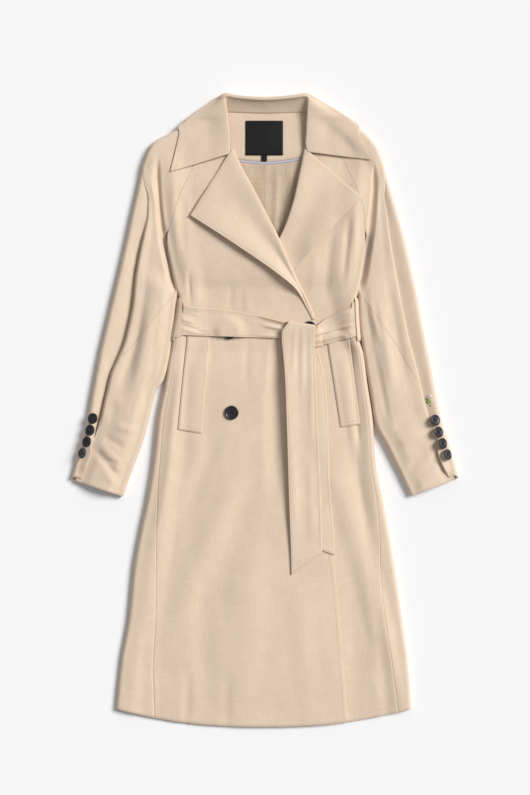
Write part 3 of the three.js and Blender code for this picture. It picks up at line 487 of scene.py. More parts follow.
sleeveSetup = {
    "stripOverlap": 7.0,
    "stripDrop": {-1: 9.0, 1: 3.2},
    "foldLip": {-1: 3.6, 1: 1.8},
    "crownRise": {-1: 7.5, 1: 3.0},
    "coverGap": 1.15,
    "stripShorter": 6.5,
    "stripRise": 5.4,
    "rowStep": 5.0,
    "rippleHeight": 0.8,
}
# Folds of the sleeve fronts, as ridges and troughs.
sleeveFolds = {
    -1: [
        [-262, 250, -292, 50, 18, 2.6],
        [-228, 240, -262, 20, 24, -4.0],
        [-206, 190, -236, 50, 18, 3.4],
        [-196, 130, -220, 0, 12, -3.2],
        [-319, -66, -264, -131, 9, -3.4],
        [-306, -60, -250, -118, 10, 2.6],
        [-298, -91, -244, -107, 6, -2.8],
        [-302, -46, -258, -70, 11, -2.4],
        [-276, -30, -232, -40, 12, 2.2],
        [-296, -116, -262, -150, 10, 1.6],
        [-250, 330, -236, 230, 16, 2.4],
        [-204, 424, -190, 346, 11, 2.0],
        [-300, 30, -262, 10, 18, 1.8],
    ],
    1: [
        [270, 240, 298, 50, 18, 2.4],
        [238, 250, 262, 50, 22, -3.2],
        [212, 200, 238, 40, 16, 3.2],
        [198, 120, 228, -20, 12, -3.4],
        [194, 204, 214, 124, 9, 2.6],
        [187, 194, 200, 116, 7, -3.2],
        [296, -40, 246, -66, 14, 2.2],
        [304, -70, 262, -118, 12, -2.8],
        [286, 4, 240, -36, 14, -2.4],
        [330, -104, 280, -146, 12, 2.0],
        [213, 414, 206, 336, 9, 1.8],
        [262, -112, 272, -150, 9, -1.6],
        [296, 60, 316, -40, 10, 1.8],
    ],
}


def sleeveFloor(y):
    return coat["rest"] + 2.3 * smooth(y, 452, 486)


# Section values at finer steps, with the seam ends resolved.
def fineSections(side, sections):
    name = "left" if side < 0 else "right"
    count = len(sections["outerX"])
    own = {key: list(values) for key, values in sections.items()}
    own["at"] = [float(i) for i in range(count)]
    own["onFront"] = [0.0 if own["innerX"][i] else 1.0 for i in range(count)]
    own["onBack"] = [0.0 if own["backX"][i] else 1.0 for i in range(count)]
    for i in range(count):
        if own["onFront"][i]:
            own["innerX"][i] = read(frontRaglan, name, own["innerY"][i]) + side * coat["raglanGap"]
        if own["onBack"][i]:
            own["backX"][i] = read(backRaglan, name, own["backY"][i]) + side * coat["raglanGap"]
    places = []
    for i in range(count - 1):
        outer = math.hypot(own["outerX"][i + 1] - own["outerX"][i], own["outerY"][i + 1] - own["outerY"][i])
        inner = math.hypot(own["innerX"][i + 1] - own["innerX"][i], own["innerY"][i + 1] - own["innerY"][i])
        steps = max(2, int(math.ceil(max(outer, inner) / sleeveSetup["rowStep"])))
        places += [i + k / steps for k in range(steps)]
    places.append(count - 1.0)
    fine = []
    for at in places:
        section = {key: read(own, key, at) for key in own if key != "at"}
        frontSeam = read(frontRaglan, name, section["innerY"]) + side * coat["raglanGap"]
        backSeam = read(backRaglan, name, section["backY"]) + side * coat["raglanGap"]
        if section["onFront"] > 0.999:
            section["innerX"] = frontSeam
        if section["onBack"] > 0.999:
            section["backX"] = backSeam
        section["free"] = 1 - section["onBack"]
        fine.append(section)
    return fine


def unit(x, y):
    length = math.hypot(x, y)
    return x / length, y / length, length


def sleeveBackGrid(side, sections):
    floorShares = spaced(0, 0.94, 14)
    turnShares = spaced(0.06, 0.97, 12)
    topShares = spaced(0, 1, 9)
    grid = []
    for section in sections:
        floor = sleeveFloor(section["outerY"])
        radius = section["radius"]
        inX, inY, foldReach = unit(section["foldX"] - section["outerX"], section["foldY"] - section["outerY"])
        beyond = abs(section["over"])
        overlap = mix(-0.7, sleeveSetup["stripOverlap"], smooth(beyond, 0.5, 1))
        underSide = 1 - smooth(section["over"], -0.2, 1)
        openDrop = sleeveSetup["stripDrop"][side] * smooth(-section["outerY"], -420, -300)
        lowTop = mix(0.4, max(3.0, openDrop), underSide)
        backX, backY, backReach = unit(section["backX"] - section["outerX"], section["backY"] - section["outerY"])
        backReach -= radius * section["free"]
        topRun = max(foldReach + overlap - radius, 2)
        atCuff = smooth(-section["outerY"], 20, 60) * (1 - smooth(-section["outerY"], 96, 128))
        ending = sleeveSetup["stripShorter"] * smooth(-section["outerY"], 96, 127)
        row = []
        for share in floorShares:
            reach = mix(backReach, radius, share)
            row.append((section["outerX"] + backX * reach, section["outerY"] + backY * reach, floor))
        for share in turnShares:
            blend = smooth(share, 0, 1)
            reach = radius * (1 - math.sin(share * math.pi))
            alongX, alongY = mix(backX, inX, blend), mix(backY, inY, blend)
            height = floor + radius * (1 - math.cos(share * math.pi))
            upward = ending * smooth(share, 0.5, 1)
            x = section["outerX"] + alongX * reach - side * 0.22 * upward
            row.append((x, section["outerY"] + alongY * reach + upward, height))
        for share in topShares:
            reach = radius + share * topRun
            drop = lowTop * smooth(reach, radius, max(foldReach, radius + 2))
            x = section["outerX"] + inX * reach - side * 0.22 * ending
            y = section["outerY"] + inY * reach + ending
            wave = 0.5 * slowNoise(x, y, 30, 5.5) * smooth(reach, radius, radius + 8)
            rise = sleeveSetup["stripRise"] * atCuff * smooth(share, 0, 1)
            row.append((x, y, floor + 2 * radius - drop + wave + rise))
        grid.append(row)
    return np.array(grid)


# Height of the sleeve front beside and over the armhole fold of the body.
def sleeveHeadHeight(side, x, y, crown):
    radius = read(rolls, "radius", y)
    inward = (edgeX(side, y) - x) * side
    level = lyingLevel(side < 0, y)
    crest = read(rolls, "base", y) + 2 * radius
    fade = read(rolls, "fadeLeft" if side < 0 else "fadeRight", y)
    shown = smooth(y, 308, 338)
    trough = mix(4, 7, shown) + sleeveFloor(y) - coat["rest"]
    if inward < 0:
        return mix(trough, crown, smooth(-inward, 2, 15))
    if inward < radius:
        ridge = mix(trough, crest, math.sin(inward / radius * math.pi / 2))
    else:
        past = inward - radius
        ridge = level + (crest - level) * (1 - smooth(past, 0, fade)) + drape(x, y) * smooth(past, 0, 26)
    return mix(min(trough, 4), ridge, shown)


def sleeveFrontGrid(side, sections):
    shares = spaced(0, 0.1, 7) + spaced(0.12, 0.8, 30) + spaced(0.82, 1, 14)
    folds = sleeveFolds[side]
    grid = []
    for section in sections:
        floor = sleeveFloor(section["outerY"])
        radius, over = section["radius"], section["over"]
        startX, startY = section["foldX"], section["foldY"]
        runX, runY, length = unit(section["innerX"] - startX, section["innerY"] - startY)
        toFold = math.hypot(startX - section["outerX"], startY - section["outerY"])
        shift = mix(0, -min(2, toFold - radius - 2), smooth(over, 0.5, 1))
        shift += 0.7 * (1 - abs(over * 2 - 1)) * (over > 0)
        startHeight = floor + 2 * radius + mix(-0.5, -2.4, smooth(over, 0, 1))
        cover = smooth(section["outerY"], 405, 450)
        coverGap = sleeveSetup["coverGap"]
        startHeight = mix(startHeight, floor + 2 * radius + coverGap, cover)
        outX, outY, _ = unit(section["outerX"] - startX, section["outerY"] - startY)
        free = section["free"]
        turned = 0.86 * math.pi * free
        flat = length - radius * free - shift
        total = flat + turned * radius
        # the front stands over the strip with a rounded fold where the two cross
        lip = sleeveSetup["foldLip"][side] * smooth(-section["outerY"], -430, -330)
        lip *= 1 - smooth(over, -0.6, 0.2)
        row = []
        for step in (6, 5, 4, 3, 2, 1):
            angle = max(step - 1, 0) * math.radians(15)
            away = toFold - radius + (radius + coverGap) * math.sin(angle)
            reach = mix(0.22 * step - shift, away, cover)
            lower = (radius + coverGap) * (1 - math.cos(angle)) * cover
            row.append((startX + outX * reach, startY + outY * reach, startHeight - lower))
        for share in shares:
            travel = share * total
            if travel <= flat or free < 0.01:
                reach = shift + travel
                x, y = startX + runX * reach, startY + runY * reach
                rise = mix(smooth(travel, 0, 16), smooth(travel, 11, 27), smooth(over, 0.4, 1))
                crown = section["crown"] + sleeveFloor(y) - coat["rest"]
                freeTop = mix(crown, floor + 2 * radius, smooth(travel, flat * 0.6, flat))
                domed = smooth(travel / flat, 0, 0.62) * (1 - smooth(travel / flat, 0.7, 0.98))
                freeHeight = mix(startHeight, freeTop, rise) + sleeveSetup["crownRise"][side] * domed
                headTop = sleeveHeadHeight(side, x, y, crown)
                headHeight = mix(startHeight, headTop, smooth(travel, 8, 34))
                body = smooth(travel, 4, 26) * (1 - smooth(travel, flat - 24, flat - 2) * free)
                cloth = foldHeight(folds, x, y) + sleeveSetup["rippleHeight"] * (
                    slowNoise(x, y * 0.6, 46, 2.2) + 0.4 * slowNoise(x, y, 18, 6.4)
                )
                height = mix(headHeight, freeHeight, free) + cloth * body * mix(0.5, 1, free)
                edge = lip * (1 - smooth(travel, 2, 22)) * smooth(travel, -1, 2.5)
                row.append((x, y, height + edge))
            else:
                angle = (travel - flat) / radius
                reach = shift + flat + radius * math.sin(angle)
                height = floor + radius * (1 + math.cos(angle))
                row.append((startX + runX * reach, startY + runY * reach, height))
        grid.append(row)
    return np.array(grid)


# Resting pieces on what carries them

def castTree(grids):
    points, faces = [], []
    for grid in grids:
        rows, columns = grid.shape[:2]
        start = len(points)
        points += [tuple(point) for point in grid.reshape(-1, 3)]
        for row in range(rows - 1):
            for column in range(columns - 1):
                a = start + row * columns + column
                faces.append((a, a + 1, a + 1 + columns, a + columns))
    return BVHTree.FromPolygons(points, faces)


down = Vector((0, 0, -1))


def heightOn(tree, x, y, reach=0.0, missing=-1e6):
    highest = missing
    places = [(0, 0)]
    if reach:
        places += [(reach, 0), (-reach, 0), (0, reach), (0, -reach)]
    for stepX, stepY in places:
        hit = tree.ray_cast(Vector((x + stepX, y + stepY, 400.0)), down)[0]
        if hit is not None:
            highest = max(highest, hit.z)
    return highest


# Evens out the heights of a grid that lies on something, never below what carries it.
def settle(grid, lowest, rounds, pinned=None):
    heights = grid[:, :, 2].copy()
    for _ in range(rounds):
        padded = np.pad(heights, 1, mode="edge")
        around = (padded[:-2, 1:-1] + padded[2:, 1:-1] + padded[1:-1, :-2] + padded[1:-1, 2:]) / 4
        heights = np.maximum(0.35 * heights + 0.65 * around, lowest)
        if pinned is not None:
            heights = np.where(pinned, grid[:, :, 2], heights)
    settled = grid.copy()
    settled[:, :, 2] = heights
    return settled


print("building the body and sleeves")
grids = {
    "coatBack": backGrid(),
    "frontRight": frontGrid(-1),
    "frontLeft": frontGrid(1),
}
rightSections = fineSections(-1, rightSleeve)
leftSections = fineSections(1, leftSleeve)
grids["sleeveRightBack"] = sleeveBackGrid(-1, rightSections)
grids["sleeveRightFront"] = sleeveFrontGrid(-1, rightSections)
grids["sleeveLeftBack"] = sleeveBackGrid(1, leftSections)
grids["sleeveLeftFront"] = sleeveFrontGrid(1, leftSections)
chestGrids = [grids["frontRight"], grids["frontLeft"]]
sleeveNames = ["sleeveRightFront", "sleeveRightBack", "sleeveLeftFront", "sleeveLeftBack"]
chestTree = castTree(chestGrids)
garmentTree = castTree(chestGrids + [grids[name] for name in sleeveNames])

# Lapels

lapelSetup = {"top": 482.0, "break": 166.0, "lift": 9.5, "rowStep": 4.0}
lapelColumns = ["at", "x", "y"]
rightLapelEdge = table(lapelColumns, [
    [0, -136, 360],
    [0.26, -65, 314],
    [0.6, 30, 248],
    [0.76, 61, 221],
    [0.9, 79, 190],
    [1, 91, 166],
])
leftLapelEdge = table(lapelColumns, [
    [0, 179, 394],
    [0.25, 122, 333],
    [0.46, 72, 278],
    [0.54, 54, 259],
    [0.78, -10, 208],
    [1, -78, 176],
])


# Depth of a lapel's roll: pressed flat towards its break and, on the under side, below the crossing.
def lapelRoll(side, y):
    if side < 0:
        return mix(1.2, 2.8, smooth(y, 180, 320))
    return mix(0.95, 2.7, smooth(y, 324, 380))


def lapelGrid(side, edge, tree, cover=None):
    column = "upper" if side < 0 else "lower"
    shares = spaced(0.02, 0.1, 4) + spaced(0.14, 0.94, 22) + [0.965, 0.982, 0.992, 1.0]
    turns = spaced(-0.5, 0.35, 9)
    grid, lowest = [], []
    lowestRow = 168.0 if side < 0 else 179.0
    for y in span(lapelSetup["top"], lowestRow, lapelSetup["rowStep"]):
        row = (lapelSetup["top"] - y) / (lapelSetup["top"] - lapelSetup["break"])
        x = read(frontEdges, column, y)
        slope = (read(frontEdges, column, y + 4) - read(frontEdges, column, y - 4)) / 8
        outX, outY, _ = unit(-side, side * slope)
        radius = lapelRoll(side, y)
        level = frontHeight(side, x, y)
        points, floors = [], []
        for turn in turns:
            out = 0.8 + radius * math.cos(turn * math.pi)
            height = level + radius + radius * math.sin(turn * math.pi)
            points.append((x + outX * out, y + outY * out, height))
            floors.append(height)
        for share in shares:
            placeX = mix(x, read(edge, "x", row), share)
            placeY = mix(y, read(edge, "y", row), share)
            overEdge = read(frontEdges, "upper", placeY)
            shown = 1.0 if side < 0 else smooth(placeX, overEdge + 10, overEdge + 60)
            support = max(heightOn(tree, placeX, placeY, 3), level)
            loft = max(2 * radius - coat["layerStep"], 0) * (1 - smooth(share, 0, 0.45))
            opened = smooth(row, -0.2, 0.22) * (1 - smooth(row, 0.55, 0.9))
            lift = lapelSetup["lift"] * shown * smooth(share, 0.35, 1) * opened
            wave = 0.5 * shown * slowNoise(placeX, placeY, 34, 11.0 + side) * smooth(share, 0.05, 0.4)
            points.append((placeX, placeY, support + coat["layerStep"] + loft + lift + wave))
            floors.append(support + 1.5)
        grid.append(points)
        lowest.append(floors)
    grid, lowest = np.array(grid), np.array(lowest)
    pinned = np.zeros(lowest.shape, bool)
    pinned[:, :len(turns)] = True
    settled = settle(grid, lowest, 6, pinned)
    if cover is None:
        return settled
    for row in settled:
        for point in row:
            above = heightOn(cover, point[0], point[1])
            if above > 0:
                point[2] = min(point[2], above - 1.3)
    return settled


grids["lapelRight"] = lapelGrid(-1, rightLapelEdge, castTree([grids["frontRight"]]))
grids["lapelLeft"] = lapelGrid(
    1, leftLapelEdge, castTree([grids["frontLeft"]]), castTree([grids["frontRight"]]),
)

# Collar

# Collar fall from the tip of one wing round the back to the other: the roll line, the place where
# the cloth turns over the shoulder, and the outer edge. Sections without a turn lie wholly on top.
collarSections = table(["at", "rollX", "rollY", "rollZ", "foldX", "foldY", "outX", "outY", "turns"], [
    [0, -66, 474, 14, -173, 441, -173, 441, 0],
    [1, -66, 488, 15, -169, 458, -169, 458, 0],
    [2, -66, 512, 16.5, -163, 482, -163, 482, 0],
    [3, -69, 536, 18, -157, 508, -157, 508, 0],
    [4, -70, 550, 19.5, -152, 532, -152, 532, 0.2],
    [5, -71, 557, 20, -145, 537.5, -150, 527, 1],
    [6, -72, 563, 20.6, -134, 546, -143, 519, 1],
    [7, -73, 568, 21, -120, 556, -134, 512, 1],
    [8, -74, 573, 21.6, -106, 565.5, -123, 506, 1],
    [9, -74, 577, 22, -88, 577.5, -110, 500, 1],
    [10, -66, 580, 22.4, -70, 586, -78, 496, 1],
    [11, -44, 577, 22, -44, 581, -46, 493, 1],
    [12, 2, 574, 21.6, 2, 578.5, 2, 491, 1],
    [13, 48, 577, 22, 48, 581.5, 50, 493, 1],
    [14, 74, 580, 22.4, 78, 586, 86, 496, 1],
    [15, 82, 577, 22, 96, 577.5, 118, 500, 1],
    [16, 83, 573, 21.6, 115, 566.5, 132, 506, 1],
    [17, 83, 568, 21, 131, 557.5, 146, 513, 1],
    [18, 83, 563, 20.6, 146, 548, 156, 520, 1],
    [19, 82, 557, 20, 159, 540, 165, 529, 1],
    [20, 82, 550, 19.5, 168, 534, 168, 534, 0.2],
    [21, 81, 534, 18, 176, 507, 176, 507, 0],
    [22, 80, 510, 16.5, 185, 486, 185, 486, 0],
    [23, 79, 492, 15, 193, 472, 193, 472, 0],
    [24, 82, 478, 14, 198, 463, 198, 463, 0],
])
collarSetup = {
    "rollRise": 4.6,
    "rollBend": 2.2,
    "rollTuck": 3.0,
    "rollTurns": (-0.55, 0.0, 0.3, 0.6, 0.85),
    "foldTop": 15.6,
    "wingRest": 11.0,
    "clearance": 0.6,
    "edgeStrip": 26.0,
    "turnPart": 0.75,
    "bow": 5.0,
}


def collarGrid(tree):
    wingShares = spaced(0, 1, 26)
    outerShares = spaced(0, 1, 15)[1:-2] + [0.95, 0.975, 1.0]
    spare = coat["layerStep"] + collarSetup["clearance"]
    grid, lowest = [], []
    places = []
    for i in range(24):
        steps = 4 if 4 <= i < 10 or 14 <= i < 20 else 6
        places += [i + k / steps for k in range(steps)]
    for at in places + [24.0]:
        s = {key: read(collarSections, key, at) for key in collarSections if key != "at"}
        s["rollZ"] += collarSetup["rollRise"] * smooth(at, 1, 7) * (1 - smooth(at, 17, 23))
        forwardX, forwardY, topRun = unit(s["foldX"] - s["rollX"], s["foldY"] - s["rollY"])
        turns = s["turns"]
        folded = smooth(turns, 0, 0.2)
        past = smooth(turns, 0.2, 1)
        fallen = mix(s["rollZ"], collarSetup["foldTop"], smooth(topRun, 4, 26))
        high = max(collarSetup["foldTop"], fallen)
        rest = mix(collarSetup["wingRest"], high, folded)
        radius = (high - coat["beltCentre"]) / 2
        swing = min(radius, max(topRun - 2, 2)) * folded
        flat = topRun - mix(collarSetup["edgeStrip"], swing, folded)
        outRun = math.hypot(s["outX"] - s["foldX"], s["outY"] - s["foldY"])
        backX, backY = -forwardX, -forwardY
        if outRun > 0.5:
            offX, offY, _ = unit(s["outX"] - s["foldX"], s["outY"] - s["foldY"])
            backX, backY, _ = unit(mix(backX, offX, past), mix(backY, offY, past))
        below = max(outRun - swing, 1) * past
        turnRun = radius * turns * math.pi
        row, floors = [], []
        for turn in collarSetup["rollTurns"]:
            angle = max(turn, 0) * math.pi / 2
            bend = collarSetup["rollBend"] * math.cos(angle)
            dip = collarSetup["rollBend"] * (1 - math.sin(angle)) - min(turn, 0) * collarSetup["rollTuck"]
            row.append((s["rollX"] - forwardX * bend, s["rollY"] - forwardY * bend, s["rollZ"] - dip))
            floors.append(s["rollZ"] - dip)

        def onTop(travel):
            x, y = s["rollX"] + forwardX * travel, s["rollY"] + forwardY * travel
            support = heightOn(tree, x, y, 4, lyingLevel(False, y))
            fallen = smooth(travel / max(topRun - swing, 1), 0, mix(0.42, 1, folded))
            carried = mix(s["rollZ"], rest, fallen)
            crown = collarSetup["bow"] * math.sin(math.pi * min(1, travel / topRun)) * (1 - folded) * 0.4
            row.append((x, y, max(support + spare, carried + crown)))
            floors.append(support + coat["layerStep"])

        for share in wingShares:
            onTop(share * flat)
        for share in outerShares:
            if turns < 0.02:
                onTop(flat + share * collarSetup["edgeStrip"])
                continue
            part = mix(1, collarSetup["turnPart"], past)
            travel = min(share / part, 1) * turnRun + max(share - part, 0) / max(1 - part, 1e-6) * below
            travel = mix(share * collarSetup["edgeStrip"], travel, folded)
            turned = min(travel / radius, turns * math.pi)
            blend = smooth(turned, 0, math.pi)
            shift = swing * (1 - math.sin(turned)) + max(travel - radius * turned, 0) * past
            alongX, alongY = mix(-forwardX, backX, blend), mix(-forwardY, backY, blend)
            x, y = s["foldX"] + alongX * shift, s["foldY"] + alongY * shift
            height = coat["beltCentre"] + radius * (1 + math.cos(turned))
            if folded < 0.999:
                reach = flat + share * collarSetup["edgeStrip"]
                flatX, flatY = s["rollX"] + forwardX * reach, s["rollY"] + forwardY * reach
                x, y = mix(flatX, x, folded), mix(flatY, y, folded)
                support = heightOn(tree, x, y, 4, lyingLevel(False, y))
                height = mix(max(support + spare, rest), height, folded)
            row.append((x, y, height))
            floors.append(coat["beltCentre"])
        grid.append(row)
        lowest.append(floors)
    return np.array(grid), np.array(lowest)


collarPoints, collarLowest = collarGrid(garmentTree)
flatSections = np.array([row[-1][2] > 6 for row in collarPoints.tolist()])
collarPinned = np.zeros(collarLowest.shape, bool)
collarPinned[~flatSections, :] = True
collarPinned[:, :7] = True
grids["collarFall"] = settle(collarPoints, collarLowest, 8, collarPinned)

standSections = table(["at", "lowX", "lowY", "lowZ", "highX", "highY", "highZ"], [
    [0, -80, 522, 9.2, -70.5, 520.5, 14.6],
    [1, -80, 537, 8.6, -72, 540.5, 16.3],
    [2, -78, 548, 7.4, -72, 557, 18.4],
    [3, -70, 553, 6.4, -68, 575.8, 20.1],
    [4, -44, 552, 6, -44, 574.2, 20.1],
    [5, 2, 550.5, 6, 2, 571.6, 19.7],
    [6, 48, 552, 6, 48, 574.2, 20.1],
    [7, 78, 553, 6.4, 76, 575.8, 20.1],
    [8, 86, 548, 7.4, 81, 557, 18.4],
    [9, 89, 537, 8.6, 82, 539.5, 16.3],
    [10, 89, 522, 9.2, 80, 519.5, 14.6],
])


standSetup = {"tuck": 3.4, "sag": 1.6, "wave": 0.5, "waveSize": 18}


def standGrid():
    grid = []
    for at in spaced(0, 10, 71):
        s = {key: read(standSections, key, at) for key in standSections if key != "at"}
        s["highZ"] += collarSetup["rollRise"] * smooth(at, -0.5, 2.5) * (1 - smooth(at, 7.5, 10.5))
        row = []
        for share in spaced(0, 1, 14):
            x, y = mix(s["lowX"], s["highX"], share), mix(s["lowY"], s["highY"], share)
            x += standSetup["tuck"] * share * (-1 if at < 2.6 else 1 if at > 7.4 else 0)
            y += standSetup["tuck"] * share * smooth(at, 2, 3) * (1 - smooth(at, 7, 8))
            middle = math.sin(share * math.pi)
            wave = standSetup["wave"] * slowNoise(x, y, standSetup["waveSize"], 4.4) * middle
            height = mix(s["lowZ"], s["highZ"], share) - standSetup["sag"] * middle + wave
            row.append((x, y, height))
        grid.append(row)
    return np.array(grid)


grids["collarStand"] = standGrid()

# Pieces in the neck opening

openingColumns = ["at", "left", "right", "sag"]
facingRows = table(openingColumns, [
    [470, -86, 94, 9],
    [488, -87, 95, 5],
    [510, -84, 92, 2],
    [530, -78, 86, 0],
    [553, -76, 84, 0],
])
bindingRows = table(openingColumns, [
    [465.4, -86, 94, 9],
    [469.1, -86, 94, 9],
])
liningRows = table(openingColumns, [
    [257, -30, 40, 0],
    [290, -40, 52, 0],
    [330, -56, 66, 0],
    [370, -70, 78, 0],
    [410, -82, 88, 3],
    [440, -86, 94, 7],
    [464.5, -86, 94, 9],
])
liningFolds = [
    [-34, 450, -30, 300, 9, 1.2],
    [-18, 456, -16, 330, 7, -0.7],
    [24, 456, 20, 310, 8, 1.3],
    [38, 452, 34, 330, 7, -0.7],
    [52, 450, 46, 350, 8, 1.2],
]


def openingGrid(rows, step, pleat, folds, wave):
    grid = []
    for at in span(rows["at"][0], rows["at"][-1], step):
        left, right, sag = (read(rows, key, at) for key in ("left", "right", "sag"))
        row = []
        for share in spaced(0, 1, 61):
            x = mix(left, right, share)
            y = at - sag * (1 - min(1, abs(x - 2) / 70) ** 2)
            fold = pleat * smooth(y, 260, 290) * max(0, 1 - abs(x - 2) / 9)
            level = read(backLevels, "height", y) + coat["layerStep"] + fold
            soft = max(0, foldHeight(folds, x, y) + wave * (slowNoise(x, y, 22, 8.8) + 0.5))
            row.append((x, y, level + soft))
        grid.append(row)
    return np.array(grid)


grids["backNeckFacing"] = openingGrid(facingRows, 4, 0, [], 0.15)
grids["neckBinding"] = openingGrid(bindingRows, 1.2, 0, [], 0.0)
grids["backLining"] = openingGrid(liningRows, 4, 0.8, liningFolds, 0.5)


def patchGrid(left, right, bottom, top, tree, rows, columns, bow):
    grid = []
    for y in spaced(bottom, top, rows):
        row = []
        for x in spaced(left, right, columns):
            shareX = (x - left) / (right - left)
            lift = bow * math.sin(shareX * math.pi)
            row.append((x, y, heightOn(tree, x, y, 2, 4.0) + coat["layerStep"] - 0.3 + lift))
        grid.append(row)
    return np.array(grid)


facingTree = castTree([grids["backNeckFacing"]])
grids["neckLabel"] = patchGrid(-34, 35, 472.5, 536, facingTree, 22, 24, 0.5)
grids["sizeTab"] = patchGrid(-4.5, 5.5, 461.5, 471.7, facingTree, 6, 6, 0.0)

# Pocket welts

weltCorners = {
    "weltRight": {"top": (-141, -100, 144), "bottom": (-159, -36, -116, -43)},
    "weltLeft": {"top": (116, 157, 138), "bottom": (142, -32, 178, -26)},
}


def weltGrid(corners, tree):
    topLeft, topRight, topY = corners["top"]
    leftX, leftY, rightX, rightY = corners["bottom"]
    grid = []
    for row in spaced(0, 1, 46):
        points = []
        for share in spaced(0, 1, 13):
            x = mix(mix(leftX, rightX, share), mix(topLeft, topRight, share), row)
            y = mix(mix(leftY, rightY, share), topY, row)
            puff = 0.9 * math.sin(share * math.pi) * smooth(row, 0.02, 0.12)
            points.append((x, y, heightOn(tree, x, y, 3) + coat["layerStep"] - 0.3 + puff))
        grid.append(points)
    grid = np.array(grid)
    return settle(grid, grid[:, :, 2] - 0.4, 3)


for name, corners in weltCorners.items():
    grids[name] = weltGrid(corners, castTree([grids["frontRight" if name == "weltRight" else "frontLeft"]]))

# Belt

beltRuns = table(["at", "top", "bottom"], [
    [-172, 201, 135],
    [-157, 198, 139],
    [-142, 193, 138.5],
    [-64, 184, 136],
    [-1, 173, 134],
    [44, 162, 132],
    [93, 154, 117],
    [117, 171, 123],
    [142, 183, 130],
    [162, 189, 134],
    [176, 199, 136],
])
floorBelt = {"left": -172, "right": 176, "bottom": 135.5, "top": 200}
coveredButtons = [(-64, 144), (84, 150)]
beltFolds = [
    [50, 160, -10, 174, 6, 3.4],
    [50, 152, 10, 160, 4, -2.6],
    [50, 147, -4, 157, 5, 2.8],
    [50, 139, 14, 144, 4, -1.8],
    [46, 134, -10, 138, 5, 1.6],
    [-40, 180, -112, 189, 10, 0.7],
    [-80, 150, -150, 152, 10, 0.9],
    [90, 153, 164, 185, 7, 2.2],
    [90, 144, 172, 166, 4, -2.6],
    [90, 139, 172, 159, 4, 3.4],
    [90, 131, 150, 150, 4, -2.4],
    [92, 125, 172, 146, 5, 2.6],
    [100, 121, 150, 134, 4, -1.6],
    [-152, 191, -108, 185, 7, 1.8],
    [-156, 178, -124, 172, 4, -1.8],
    [-156, 168, -130, 162, 5, 2.0],
    [-156, 158, -118, 146, 4, -1.8],
    [-156, 150, -112, 141, 5, 1.4],
]


def aroundBody(side, y, turn, lift):
    radius = read(rolls, "radius", y)
    angle = turn * math.pi
    centre = edgeX(side, y) - side * radius
    x = centre + side * (radius + lift) * math.sin(angle)
    return x, y, read(rolls, "base", y) + radius - (radius + lift) * math.cos(angle)


def beltGrid(tree):
    shares = [0, 0.015, 0.04] + spaced(0.07, 0.93, 26) + [0.96, 0.985, 1.0]
    grid, lowest, softs = [], [], []

    def onTop(x):
        row, floors, soft = [], [], []
        for share in shares:
            y = mix(read(beltRuns, "bottom", x), read(beltRuns, "top", x), share)
            near = min(math.hypot(bx - x, by - y) for bx, by in coveredButtons)
            support = heightOn(tree, x, y, 5)
            raised = 5.4 * (1 - smooth(near, 15, 36))
            soft.append(max(foldHeight(beltFolds, x, y) + 0.4 * slowNoise(x, y * 2, 22, 7.3) + 0.8, 0.0))
            row.append((x, y, support + coat["layerStep"] + raised))
            floors.append(support + coat["layerStep"] + raised)
        grid.append(row)
        lowest.append(floors)
        softs.append(soft)

    def fixed(points):
        grid.append(points)
        lowest.append([point[2] for point in points])
        softs.append([0.0] * len(points))

    def roundSide(side, turns):
        reach = floorBelt["left"] if side < 0 else floorBelt["right"]
        for turn in turns:
            bottom, top = read(beltRuns, "bottom", reach), read(beltRuns, "top", reach)
            fixed([aroundBody(side, mix(bottom, top, share), turn, coat["layerStep"]) for share in shares])

    for x in span(50, -150, 2.5):
        onTop(x)
    turnSteps = spaced(1.04, 0, 16)
    roundSide(-1, turnSteps)
    for x in span(-150, 150, 12):
        fixed([(x, mix(floorBelt["bottom"], floorBelt["top"], share), coat["beltCentre"]) for share in shares])
    roundSide(1, turnSteps[::-1])
    for x in span(162, 90, 2):
        onTop(x)
    grid, lowest = np.array(grid), np.array(lowest)
    pinned = np.zeros(lowest.shape, bool)
    pinned[[i for i, soft in enumerate(softs) if not any(soft)]] = True
    settled = settle(grid, lowest, 8, pinned)
    settled[:, :, 2] += np.array(softs)
    return settled


beltTree = castTree(chestGrids + [grids[name] for name in ("weltRight", "weltLeft", "lapelRight")])
grids["beltBand"] = beltGrid(beltTree)

frontTail = table(["at", "left", "right", "lift"], [
    [-304, 51, 108, 3.5],
    [-264, 50, 107, 4],
    [-150, 46, 104, 6],
    [-18, 42, 98.5, 9.5],
    [60, 39, 95.5, 11.5],
    [110, 35, 94, 13],
    [132, 33, 93.5, 14],
    [145, 33.5, 93.5, 14.6],
    [155, 40, 94, 14],
    [164, 47.5, 94, 13.4],
])
underTail = table(["at", "left", "right", "lift"], [
    [-304, 74, 130, 2.4],
    [-264, 74, 130, 2.5],
    [-131, 64, 121, 3.6],
    [-60, 62, 119, 4.6],
    [-18, 61, 118, 4.9],
    [31, 58, 115, 5.2],
    [74, 55, 109, 6.2],
    [112, 50, 99, 6.8],
])
tailFolds = [
    [58, 150, 52, 60, 6, 1.2],
    [72, 156, 70, 20, 7, 1.5],
    [65, 150, 61, 70, 5, -0.9],
    [86, 150, 88, -60, 7, 1.3],
    [52, -60, 60, -220, 10, 1.0],
    [84, -90, 90, -250, 12, 0.9],
]


